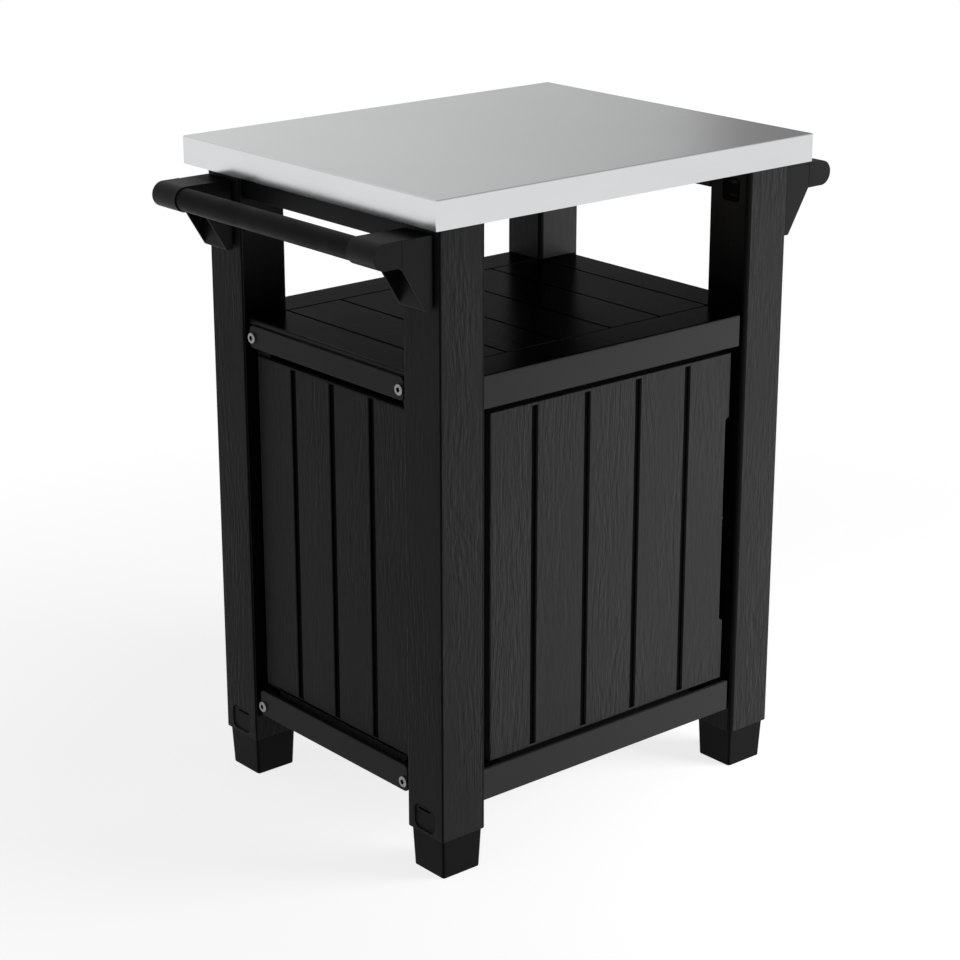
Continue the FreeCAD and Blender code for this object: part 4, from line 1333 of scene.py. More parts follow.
class LegFinish(IntEnum):
    """The places of a leg's finishes, after the grained one that comes first."""

    SHADED = 1
    CORNER_SHADE = 2
    SIDE_GRAINED = 3
    POCKET_SHADE = 4
    BAY_RIGHT = 5
    BAY_LEFT = 6
    BAY_REAR = 7


# In the order of LegFinish
LEG_FINISHES = (SHADED, CORNER_SHADE, SIDE_GRAINED, POCKET_SHADE, BAY_RIGHT, BAY_LEFT, BAY_REAR)


@dataclass(frozen=True)
class Snap:
    """A shallow recess in a side of a leg, with slots at its bottom, where another part snaps in."""

    zone: Extent
    corner: float
    slots: tuple[Extent, ...]
    # The painted shade of the recess's bottom
    finish: LegFinish


@dataclass
class Legs(Assembly):
    """Four square legs, each on a tapered foot."""

    corner_round: float = 3.0
    inner_round: float = 6.0
    end_round: float = 0.8
    pocket_shade: Snap = Snap(
        Extent(y=Span(184.0, 226.0), z=Span(60.0, 95.0)), 10.0,
        (Extent(y=Span(190.0, 214.0), z=Span.around(88.0, 2.6)),), LegFinish.POCKET_SHADE,
    )
    recess: Snap = Snap(
        Extent(y=Span(192.0, 224.0), z=Span(815.0, 847.0)), 6.0,
        (Extent(y=Span.around(208.0, 20.0), z=Span.around(822.5, 5.0)),
         Extent(y=Span.around(208.0, 20.0), z=Span.around(840.0, 7.0))), LegFinish.SHADED,
    )
    snap_depth: float = 2.0
    snap_rim: float = 0.5
    slot_depth: float = 4.0
    line_width: float = 0.4
    line_lean: float = 0.2
    foot_step: float = 3.3
    foot_taper: float = 2.4
    foot_round: float = 4.0
    foot_end_round: float = 1.2
    foot_height: float = 55.7
    cupboard_z: Span = Span(92.0, 666.0)

    def pieces(self) -> Iterable[Piece]:
        """A leg and a foot at each corner."""
        for end, side in CORNERS:
            corner = f"{end.word}_{side.word}"
            leg = self.leg(end)
            leg.mirrored(side, end)
            self.tone_bay(leg, end, side)
            yield Piece(f"post_{corner}", leg, GRAINED, (f"leg_{corner}",), more_finishes=LEG_FINISHES)
            foot = self.foot()
            foot.mirrored(side, end)
            yield Piece(f"foot_cap_{corner}", foot, FOOT_RESIN, (f"foot_{corner}",), more_finishes=(SHADED,))

    def leg(self, end: End) -> Shape:
        """The right rear leg, with the pocket and the recess where the foot and the top snap in.

        Args:
            end: The end of the cart that it is mirrored to, so that its rounder corner comes in front.

        Returns:
            The shape.
        """
        box = Extent.of("leg_rear_right")
        shape = Shape.block(box)
        front_y = box.y.low if end is End.REAR else box.y.high
        rounder = Extent(Span.thin(box.x.low), Span.thin(front_y))
        shape.soften(shape.edges(rounder, along=Axis.Z), self.inner_round, 6)
        shape.soften(shape.edges(along=Axis.Z, sharper_than=CORNER_ANGLE), self.corner_round, 4)
        for at in box.z:
            shape.soften(shape.edges(Extent(z=Span.thin(at)), sharper_than=CORNER_ANGLE), self.end_round, 2)
        self.tone_faces(shape, box.x.low, front_y)
        self.sink_snap(shape, Side.RIGHT, box.x.high, self.pocket_shade)
        self.sink_snap(shape, Side.LEFT, box.x.low, self.recess)
        return shape

    def tone_faces(self, shape: Shape, inner_x: float, front_y: float) -> None:
        """Paints shade on the corners and on the faces inside the cupboard, and gives the sides their
        finish.

        Args:
            shape: The leg.
            inner_x: Where its inner side is on X.
            front_y: Where the side that comes in front is on Y.
        """
        # Painted shade down the corners
        self.paint_corner_shade(shape, LegFinish.CORNER_SHADE)
        # The rounder inner front corner is painted dark all round, as painted shade
        width = 2 * (self.inner_round - MARGIN)
        shape.paint(Extent(Span.around(inner_x, width), Span.around(front_y, width)), LegFinish.CORNER_SHADE)
        for direction in (Axis.X.unit, -Axis.X.unit):
            for face in shape.faces(direction):
                face.material_index = LegFinish.SIDE_GRAINED
        # The faces inside the cupboard get painted shade
        for direction in (-Axis.X.unit, -Axis.Y.unit):
            for face in shape.marked_out(direction, Extent(z=self.cupboard_z)):
                face.material_index = LegFinish.SHADED

    def tone_bay(self, shape: Shape, end: End, side: Side) -> None:
        """Paints light and shade on the faces that look into the open bay.

        Args:
            shape: The leg, in its own place.
            end: The end of the cart that it stands at.
            side: The side of the cart that it stands at.
        """
        toned = {
            (End.FRONT, Side.RIGHT): [(-Axis.X.unit, LegFinish.BAY_RIGHT)],
            (End.REAR, Side.LEFT): [(-Axis.Y.unit, LegFinish.BAY_LEFT)],
            (End.REAR, Side.RIGHT): [(-Axis.X.unit, LegFinish.BAY_REAR), (-Axis.Y.unit, LegFinish.BAY_REAR)],
        }
        bay = Extent(z=Span(self.cupboard_z.high, FOREVER.high))
        for direction, finish in toned.get((end, side), []):
            for face in shape.faces(direction, bay):
                if face.material_index != LegFinish.SHADED:
                    face.material_index = finish

    def paint_corner_shade(self, shape: Shape, finish: int) -> None:
        """Paints a dark line down the middle of each upright round edge, as painted shade.

        Args:
            shape: The leg or the foot.
            finish: Which of the piece's finishes the line has.
        """
        shape.mesh.normal_update()
        for face in shape.mesh.faces:
            slant = abs(face.normal.x) - abs(face.normal.y)
            if abs(slant) < self.line_width and abs(face.normal.z) < self.line_lean:
                face.material_index = finish

    def sink_snap(self, shape: Shape, side: Side, face_x: float, snap: Snap) -> None:
        """Sinks a recess into a side of the leg, and paints shade on its bottom and in its slots.

        Args:
            shape: The leg.
            side: The side that the recess is in.
            face_x: Where that side is on X.
            snap: The recess.
        """
        direction = Axis.X.unit * side.value
        y, z = snap.zone.y, snap.zone.z
        shape.push(direction, Extent(Span.thin(face_x), y, z), -self.snap_depth)
        bottom = face_x - side.value * self.snap_depth
        depth = Span(min(face_x, bottom), max(face_x, bottom)).grown(MARGIN)
        around = Extent(depth, y.grown(MARGIN), z.grown(MARGIN))
        shape.soften(shape.edges(around, along=Axis.X), snap.corner, 5)
        for slot in snap.slots:
            shape.push(direction, Extent(Span.thin(bottom), slot.y, slot.z), -self.slot_depth)
        rim = Extent(Span.thin(face_x), around.y, around.z)
        shape.soften(shape.edges(rim), self.snap_rim, 2)
        # Painted shade on the bottom, darker in the slots
        shape.paint(Extent(Span.thin(bottom), y, z), snap.finish)
        far = bottom - side.value * self.slot_depth
        below = Span(*sorted((far - side.value * MARGIN, bottom - side.value * MARGIN)))
        shape.paint(Extent(below, y, z))

    def foot(self) -> Shape:
        """The right rear foot, narrower towards the floor.

        Returns:
            The shape.
        """
        leg = Extent.of("leg_rear_right")
        top = Extent(leg.x.grown(-self.foot_step), leg.y.grown(-self.foot_step), Span(0.0, self.foot_height))
        shape = Shape.block(top)
        halfway = self.foot_height / 2
        low = [vert for vert in shape.mesh.verts if vert.co.z < halfway]
        shrink = Vector([(size - 2 * self.foot_taper) / size for size in top.size.xy] + [1.0])
        about = Matrix.Translation(-Vector((top.x.middle, top.y.middle, 0)))
        bmesh.ops.scale(shape.mesh, vec=shrink, space=about, verts=low)
        steep = [edge for edge in shape.edges() if abs(edge.verts[0].co.z - edge.verts[1].co.z) > halfway]
        shape.soften(steep, self.foot_round, 5)
        for at in top.z:
            ring = shape.edges(Extent(z=Span.thin(at)), sharper_than=CORNER_ANGLE)
            shape.soften(ring, self.foot_end_round, 3)
        # The foot's corners get the painted shade line
        self.paint_corner_shade(shape, DARK)
        return shape


@dataclass
class Handles(Assembly):
    """A round bar at each side, held between two rounded ends on brackets."""

    root_x: float = 350.0
    foot_x: float = 313.5
    foot_z: float = 760.5
    nose_z: float = 820.0
    plate: float = 3.5
    nose_radius: float = 16.8
    bar_radius: float = 15.05
    bar_x: float = 375.5
    bar_z: float = 837.0
    bar_sides: int = 64
    bar_rim: float = 0.8
    edge: float = 0.7
    joint: float = 0.2
    wall_x: float = 304.0
    pad_y: Span = Span(190.0, 228.0)
    pad_above: float = 4.0
    pad_below: float = 3.0
    tip_round: float = 2.0
    root_round: float = 0.3

    def pieces(self) -> Iterable[Piece]:
        """Two bars, four ends and four brackets."""
        for side in Side:
            bar = self.bar()
            bar.mirrored(side)
            yield Piece(f"grip_bar_{side.word}", bar, BAR, (f"handle_bar_{side.word}",))
        for end, side in CORNERS:
            corner = f"{end.word}_{side.word}"
            bracket = self.bracket()
            bracket.mirrored(side, end)
            yield Piece(f"bracket_{corner}", bracket, SMOOTH, (f"handle_bracket_{corner}",))
            tip = self.tip()
            tip.mirrored(side, end)
            yield Piece(f"grip_end_{corner}", tip, SMOOTH, (f"handle_end_{corner}",))

    def bar(self) -> Shape:
        """The right bar, with the small turned-in rim of a cut tube at its ends.

        Returns:
            The shape.
        """
        half = Extent.of("handle_bar_right").y.high
        turned_in = self.bar_radius - self.bar_rim
        section = [(0.0, -half), (turned_in, -half), (self.bar_radius, self.bar_rim - half),
                   (self.bar_radius, half - self.bar_rim), (turned_in, half), (0.0, half)]
        shape = Shape.turned(section, self.bar_sides)
        shape.laid_along(Axis.Y)
        shape.carried(Vector((self.bar_x, 0, self.bar_z)))
        return shape

    def bracket(self) -> Shape:
        """The right rear bracket: a gusset, hollow from below, and a pad that meets the leg.

        Returns:
            The shape.
        """
        box = Extent.of("handle_bracket_rear_right")
        outline = [(self.wall_x, box.z.high), (self.wall_x, self.foot_z), (self.foot_x, self.foot_z),
                   (self.root_x, self.nose_z), (self.root_x, box.z.high)]
        shape = Shape.prism(outline, Axis.Y, box.y)
        slope = Vector((self.nose_z - self.foot_z, 0, self.foot_x - self.root_x)).normalized()
        under = shape.faces(slope)
        bmesh.ops.inset_region(shape.mesh, faces=under, thickness=self.plate, use_even_offset=True)
        ceiling = box.z.high - self.plate
        for vert in corners_of(shape.drawn_out(under)):
            inner = vert.co.x < (self.foot_x + self.root_x) / 2
            wall = self.wall_x + self.plate if inner else self.root_x - self.plate
            place = Vector((wall, vert.co.y, ceiling))
            bmesh.ops.translate(shape.mesh, vec=place - vert.co, verts=[vert])
        shape.soften(shape.edges(), self.edge, 2)
        pad_z = Span(self.foot_z + self.pad_above, box.z.high - self.pad_below)
        shape.add_block(Extent(Span(box.x.low, self.wall_x + LAP), self.pad_y, pad_z))
        return shape

    def tip(self) -> Shape:
        """The right rear end of a handle, with its round nose.

        Returns:
            The shape.
        """
        arm_y = Extent.of("handle_bracket_rear_right").y
        z = Span.around(self.bar_z, 2 * self.nose_radius)
        nose_x = self.bar_x + self.nose_radius
        root = self.root_x + self.joint
        shape = Shape.block(Extent(Span(root, nose_x), arm_y, z))
        nose = Extent(x=Span.thin(nose_x))
        shape.soften(shape.edges(nose, along=Axis.Y), self.nose_radius - 0.01, 12)
        outer = Extent(y=Span.thin(arm_y.high))
        shape.soften(shape.edges(outer, sharper_than=CORNER_ANGLE), self.tip_round, 4)
        inner = Extent(y=Span.thin(arm_y.low))
        shape.soften(shape.edges(inner, sharper_than=CORNER_ANGLE), self.edge, 2)
        seam = shape.edges(Extent(x=Span.thin(root)), sharper_than=CORNER_ANGLE)
        shape.soften(seam, self.root_round, 2)
        return shape

    def dressed_nodes(self) -> dict[str, Finish]:
        """The bolts inside the brackets."""
        return {"bracket_bolts": SCREW}


@dataclass
class Shelves(Assembly):
    """The open shelf, the cupboard floor and the loose shelf inside."""

    plate: float = 6.0
    skirt: float = 5.0
    skirt_x: Span = Span(-226.4, 222.0)
    skirt_face_y: float = 236.7
    nose_x: float = 289.5
    nose_round: float = 4.0
    leg_face_y: float = 169.6
    pitch: float = 90.0
    field_x: float = 225.0
    field_y: float = 173.5
    groove: float = 3.8
    groove_depth: float = 3.0
    groove_edge: float = 0.9
    deck_round: float = 3.0
    floor_round: float = 1.5
    floor_top: float = 125.0
    rib_x: Span = Span(266.5, 272.5)
    rib_half: float = 163.5
    deck_rib_low: float = 629.5
    floor_rib_low: float = 97.5
    block_drop: float = 0.5
    block_x: Span = Span(188.0, 222.0)
    block_y: Span = Span(203.0, 226.0)
    tenon_x: float = 238.0
    tenon_y: Span = Span(205.0, 217.0)

    def pieces(self) -> Iterable[Piece]:
        """The open shelf and the cupboard floor."""
        yield Piece("open_shelf", self.deck(), SHELF, ("shelf_deck",), more_finishes=(SKIRT, SHADED))
        yield Piece("cupboard_floor", self.floor(), SKIRT, ("floor_tray",), more_finishes=(SHADED,))

    def cross(self, z: Span, arm_x: float) -> Shape:
        """A plate with its corners cut away round the legs.

        Args:
            z: Its thickness.
            arm_x: How far it reaches between the legs of a side.

        Returns:
            The shape.
        """
        left, right = self.skirt_x
        rear = [(arm_x, self.leg_face_y), (right, self.leg_face_y), (right, self.skirt_face_y),
                (left, self.skirt_face_y), (left, self.leg_face_y), (-arm_x, self.leg_face_y)]
        return Shape.prism(rear + [(x, -y) for x, y in reversed(rear)], Axis.Z, z)

    def skirts(self, shape: Shape, z: Span, low: float) -> None:
        """Draws the front and rear skirts down from the underside of a plate.

        Args:
            shape: The plate.
            z: The plate's thickness.
            low: Where the skirts end.
        """
        for end in End:
            shape.push(-Axis.Z.unit, self.skirt_zone(end, z.low), z.low - low)

    def skirt_zone(self, end: End, at: float) -> Extent:
        """The place of a skirt on a level face of a plate.

        Args:
            end: The end of the cart that the skirt is at.
            at: The height of the face.

        Returns:
            The box.
        """
        y = Span(self.skirt_face_y - self.skirt, self.skirt_face_y).signed(end.value)
        return Extent(self.skirt_x.grown(LAP), y.grown(SLIVER), Span.thin(at))

    def ribs(self, shape: Shape, z: Span) -> None:
        """Adds a rib along each side.

        Args:
            shape: The shelf or the floor.
            z: How high the ribs are.
        """
        for side in Side:
            shape.add_block(Extent(self.rib_x.signed(side.value), Span.both(self.rib_half), z))

    def corner_blocks(self, shape: Shape, z: Span, finish: int) -> None:
        """Adds the block behind each end of a skirt, and the tenon that goes from it into the leg.

        Args:
            shape: The shelf or the floor.
            z: How high the blocks are.
            finish: Which of the piece's finishes they have, the one with painted shade.
        """
        for end, side in CORNERS:
            for x, y in ((self.block_x, self.block_y), (Span(self.block_x.low, self.tenon_x), self.tenon_y)):
                for vert in shape.add_block(Extent(x.signed(side.value), y.signed(end.value), z)):
                    for face in vert.link_faces:
                        face.material_index = finish

    def deck(self) -> Shape:
        """The open shelf: planks marked by grooves, a frame round them, and skirts that turn down.

        Returns:
            The shape.
        """
        box = Extent.of("shelf_deck")
        z = Span(box.z.high - self.plate, box.z.high)
        shape = self.cross(z, self.nose_x)
        self.skirts(shape, z, box.z.low)
        top = Extent(z=Span.thin(z.high))
        for sign in (-1, 1):
            nose = Extent(x=Span.thin(sign * self.nose_x), z=top.z)
            shape.soften(shape.edges(nose, along=Axis.Y), self.nose_round, 5)
            front = Extent(y=Span.thin(sign * self.skirt_face_y), z=top.z)
            shape.soften(shape.edges(front, along=Axis.X), self.deck_round, 4)
        self.plank_grooves(shape, top.z)
        # Upright faces get the skirt's colour, and the level top the shelf's near black with its painted
        # shade
        shape.mesh.normal_update()
        for face in shape.mesh.faces:
            centre = face.calc_center_median()
            front = abs(centre.y) > self.leg_face_y
            nose = abs(centre.x) > self.nose_x - self.nose_round
            level = abs(face.normal.z)
            face.material_index = int(front and level < 0.8 or nose and level < 0.99)
        self.ribs(shape, Span(self.deck_rib_low, z.low + LAP))
        self.corner_blocks(shape, Span(box.z.low, z.high - self.block_drop), 2)
        return shape

    def plank_grooves(self, shape: Shape, top: Span) -> None:
        """Sinks the grooves between the planks and round their field.

        Args:
            shape: The plate.
            top: A thin range about the height of its top.
        """
        rim = Span.around(self.field_y, self.groove)
        long_x = [sign * x for x in (self.field_x, 1.5 * self.pitch, self.pitch / 2) for sign in (-1, 1)]
        field_x = Span.both(self.field_x + self.groove / 2)
        for sign in (-1, 1):
            shape.marked_out(Axis.Z.unit, Extent(field_x, rim.signed(sign), top))
        for x in long_x:
            shape.marked_out(Axis.Z.unit, Extent(Span.around(x, self.groove), Span.both(rim.high), top))
        shape.mesh.normal_update()
        sunk = []
        for face in shape.faces(Axis.Z.unit, Extent(field_x, Span.both(rim.high), top)):
            centre = face.calc_center_median()
            in_rim = rim.holds(abs(centre.y)) and field_x.holds(centre.x)
            in_line = any(Span.around(x, self.groove).holds(centre.x) for x in long_x)
            if in_rim or in_line and abs(centre.y) < rim.high:
                sunk.append(face)
        floor = corners_of(shape.drawn_out(sunk))
        bmesh.ops.translate(shape.mesh, vec=(0, 0, -self.groove_depth), verts=floor)
        zone = Extent(field_x.grown(MARGIN), Span.both(rim.high + MARGIN), top)
        shape.soften(shape.edges(zone, sharper_than=CORNER_ANGLE), self.groove_edge, 2)

    def floor(self) -> Shape:
        """The cupboard floor with its skirts and side ribs.

        Returns:
            The shape.
        """
        box = Extent.of("floor_tray")
        z = Span(self.floor_top - self.plate, self.floor_top)
        shape = self.cross(z, self.rib_x.high)
        self.skirts(shape, z, box.z.low)
        for end in End:
            shape.push(Axis.Z.unit, self.skirt_zone(end, z.high), box.z.high - self.floor_top)
        for end in End:
            face = Extent(y=Span.thin(end.value * self.skirt_face_y))
            shape.soften(shape.edges(face, along=Axis.X), self.floor_round, 3)
        self.ribs(shape, Span(self.floor_rib_low, self.floor_top))
        self.corner_blocks(shape, box.z, DARK)
        return shape

    def dressed_nodes(self) -> dict[str, Finish]:
        """The loose shelf, its ledges and the magnet."""
        return {"inner_shelf": SHELF, "shelf_ledges": SMOOTH, "catch_magnet": MAGNET}


@dataclass(frozen=True)
class Board:
    """The planks of a wall and the tongue behind them."""

    node: str
    # The direction that the wall faces
    axis: Axis
    half: float
    z: Span
    grooves: tuple[float, ...]
    # Half the width of the tongue's taller part, between the shelf's corner blocks
    tall_half: float


@dataclass
class Walls(Assembly):
    """Side and back panels, with the rails that are screwed over the side panels."""

    groove: float = 10.5
    groove_depth: float = 4.0
    groove_edge: float = 1.2
    rim: float = 3.0
    planks: float = 7.0
    tongue_lap: float = 0.5
    tongue_z: Span = Span(136.5, 630.0)
    side: Board = Board("side_panel_right", Axis.X, 163.0, Span(142.3, 616.0), (-83.0, 0.0, 83.0), 141.0)
    back: Board = Board("back_panel", Axis.Y, 217.0, Span(140.0, 612.5), (-135.0, -45.0, 45.0, 135.0), 186.0)
    rail_thickness: float = 6.0
    rail_corner: float = 7.0
    rail_edge: float = 1.4
    rail_half: float = 163.5
    block_y: Span = Span(143.0, 162.0)
    tenon_x: Span = Span(272.5, 280.5)
    tenon_y: Span = Span(143.0, 181.0)
    block_inset: float = 3.5

    def pieces(self) -> Iterable[Piece]:
        """Two side panels, four rails and the back panel."""
        for side in Side:
            panel = self.panel(self.side)
            panel.mirrored(side)
            node = f"side_panel_{side.word}"
            yield Piece(f"side_wall_{side.word}", panel, SIDE_PLANKS, (node,), more_finishes=(SHADED,))
            for height in ("upper", "lower"):
                node = f"{height}_side_rail_{side.word}"
                rail = self.rail(f"{height}_side_rail_right")
                rail.mirrored(side)
                yield Piece(f"{height}_rail_{side.word}", rail, SMOOTH, (node,))
        yield Piece("back_wall", self.panel(self.back), PLANKS, ("back_panel",), more_finishes=(SHADED,))

    def panel(self, board: Board) -> Shape:
        """A board of planks that faces out, with the thin tongue that the legs and rails hold.

        Args:
            board: The wall.

        Returns:
            The shape.
        """
        box, axis, across, z = Extent.of(board.node), board.axis, Span.both(board.half), board.z
        face_at = box.on(axis).high
        depth = Span(face_at - self.planks, face_at)
        shape = Shape.block(self.laid(axis, depth, across, z))
        front = Span.thin(face_at)
        shape.soften(shape.edges(self.laid(axis, front, FOREVER, FOREVER)), self.rim, 3)
        for groove in board.grooves:
            zone = self.laid(axis, front, Span.around(groove, self.groove), z.grown(-self.rim))
            shape.push(axis.unit, zone, -self.groove_depth)
        rim_zone = self.laid(axis, front, across.grown(-self.rim - MARGIN), z.grown(MARGIN - self.rim))
        shape.soften(shape.edges(rim_zone, sharper_than=CORNER_ANGLE), self.groove_edge, 3)
        # The groove walls and floors get painted shade
        sunk = Span(face_at - self.groove_depth, face_at - self.groove_edge).grown(MARGIN)
        for groove in board.grooves:
            shape.paint(self.laid(axis, sunk, Span.around(groove, self.groove + 2 * MARGIN), FOREVER))
        tongue = Span(box.on(axis).low, depth.low + self.tongue_lap)
        wide = box.y if axis is Axis.X else box.x
        shape.add_block(self.laid(axis, tongue, wide, self.tongue_z))
        shape.add_block(self.laid(axis, tongue, Span.both(board.tall_half), box.z))
        return shape

    @staticmethod
    def laid(axis: Axis, depth: Span, across: Span, z: Span) -> Extent:
        """A box that faces out on one of the two level axes."""
        return Extent(depth, across, z) if axis is Axis.X else Extent(across, depth, z)

    def rail(self, node: str) -> Shape:
        """A right side rail: a round-cornered plate, with the block that stands behind each end.

        Args:
            node: The rail's node.

        Returns:
            The shape.
        """
        box = Extent.of(node)
        inner = box.x.high - self.rail_thickness
        shape = Shape.block(Extent(Span(inner, box.x.high), Span.both(self.rail_half), box.z))
        shape.soften(shape.edges(along=Axis.X), self.rail_corner, 6)
        outer = Extent(x=Span.thin(box.x.high))
        shape.soften(shape.edges(outer, sharper_than=CORNER_ANGLE), self.rail_edge, 3)
        for end in End:
            z = box.z.grown(-self.block_inset)
            behind = Span(self.tenon_x.low, inner + LAP)
            shape.add_block(Extent(behind, self.block_y.signed(end.value), z))
            shape.add_block(Extent(self.tenon_x, self.tenon_y.signed(end.value), z))
        return shape


@dataclass
class Door(Assembly):
    """The hinged door: five planks in front, a flat liner behind, and a notch for the fingers."""

    split_y: float = -209.5
    rim: float = 3.0
    margin: float = 3.5
    groove: float = 10.5
    groove_depth: float = 4.0
    groove_edge: float = 1.2
    notch_x: float = 210.0
    notch_z: Span = Span(227.0, 522.0)
    notch_corner: float = 5.4
    mouth_round: float = 4.5
    hinge_roll: float = 3.0
    free_roll: float = 7.0
    roll_steps: int = 6
    liner_gap: float = 1.0
    liner_round: float = 1.2
    field_margin: float = 24.0
    field_depth: float = 1.5
    # The place of the hinge-side edge's painted light finish, paler than the planks, among the door's own
    edge_finish: int = 2
    grooves: tuple[float, ...] = (-135.0, -45.0, 45.0, 135.0)

    def pieces(self) -> Iterable[Piece]:
        """The two halves of the door."""
        yield Piece("door_front", self.front(), PLANKS, ("door_panel",), Body.DOOR,
                    more_finishes=(SHADED, DOOR_EDGE_LIGHT))
        yield Piece("door_back", self.liner(), SMOOTH, ("door_liner",), Body.DOOR)

    def notched(self, box: Extent, y: Span, inset: float) -> Shape:
        """A board with a long round-cornered notch in its free edge.

        Args:
            box: The space of the board on X and Z.
            y: Its thickness.
            inset: How much wider than the door's own the notch is all round.

        Returns:
            The shape.
        """
        wall = self.notch_x - inset
        notch = self.notch_z.grown(inset)
        (left, right), (low, high) = box.x, box.z
        outline = [(left, low), (right, low), (right, notch.low), (wall, notch.low),
                   (wall, notch.high), (right, notch.high), (right, high), (left, high)]
        shape = Shape.prism(outline, Axis.Y, y)
        deep = Extent(x=Span.thin(wall))
        shape.soften(shape.edges(deep, along=Axis.Y), self.notch_corner, 6)
        mouth = Extent(Span.thin(box.x.high), z=notch.grown(MARGIN))
        shape.soften(shape.edges(mouth, along=Axis.Y), self.mouth_round, 5)
        return shape

    def roll_off(self, shape: Shape, x: Span, y: Span) -> None:
        """Bends the face back to the two upright edges in a quarter round, and leaves the back flat.

        Args:
            shape: The outer half of the door.
            x: How wide it is.
            y: From its face to its back.
        """
        for edge, sign, roll in ((x.low, -1, self.hinge_roll), (x.high, 1, self.free_roll)):
            start = edge - sign * roll
            for step in range(self.roll_steps):
                turn = math.radians(90.0 * step / self.roll_steps)
                shape.split(list(shape.mesh.faces), Axis.X, start + sign * roll * math.sin(turn))
            for vert in shape.mesh.verts:
                reach = min(max(sign * (vert.co.x - start) / roll, 0.0), 1.0)
                share = (y.high - vert.co.y) / y.length
                vert.co.y += share * roll * (1.0 - math.sqrt(1.0 - reach * reach))
        shape.mesh.normal_update()

    def front(self) -> Shape:
        """The outer half, grooved into planks.

        Returns:
            The shape.
        """
        box = Extent.of("door_panel")
        shape = self.notched(box, Span(box.y.low, self.split_y), 0.0)
        face = Span.thin(box.y.low)
        shape.soften(shape.edges(Extent(y=face), sharper_than=CORNER_ANGLE), self.rim, 4)
        for groove in self.grooves:
            zone = Extent(Span.around(groove, self.groove), face, box.z.grown(-self.margin))
            shape.push(-Axis.Y.unit, zone, -self.groove_depth)
        inner = Extent(Span.both(max(self.grooves) + self.groove), face, box.z.grown(MARGIN - self.margin))
        shape.soften(shape.edges(inner, sharper_than=CORNER_ANGLE), self.groove_edge, 3)
        # The groove walls and floors get painted shade
        sunk = Span(box.y.low + self.groove_edge, box.y.low + self.groove_depth).grown(MARGIN)
        for groove in self.grooves:
            shape.paint(Extent(Span.around(groove, self.groove + 2 * MARGIN), sunk))
        self.roll_off(shape, box.x, Span(box.y.low, self.split_y))
        # The hinge-side edge is painted paler, as painted light
        for face in shape.faces(-Axis.X.unit):
            face.material_index = self.edge_finish
        return shape

    def liner(self) -> Shape:
        """The inner half, with a shallow field.

        Returns:
            The shape.
        """
        box = Extent.of("door_liner")
        shape = self.notched(box, Span(self.split_y, box.y.high), self.liner_gap)
        face = Span.thin(box.y.high)
        shape.soften(shape.edges(Extent(y=face), sharper_than=CORNER_ANGLE), self.liner_round, 3)
        field_x = Span(box.x.low, self.notch_x).grown(-self.field_margin)
        field_zone = Extent(field_x, face, box.z.grown(-self.field_margin))
        shape.push(Axis.Y.unit, field_zone, -self.field_depth)
        return shape

    def dressed_nodes(self) -> dict[str, Finish]:
        """The hinge pins, the catch stud and the liner's screws."""
        return {"hinge_pin_upper": BLACKED, "hinge_pin_lower": BLACKED,
                "catch_stud": PIN, "door_liner_screws": SCREW}


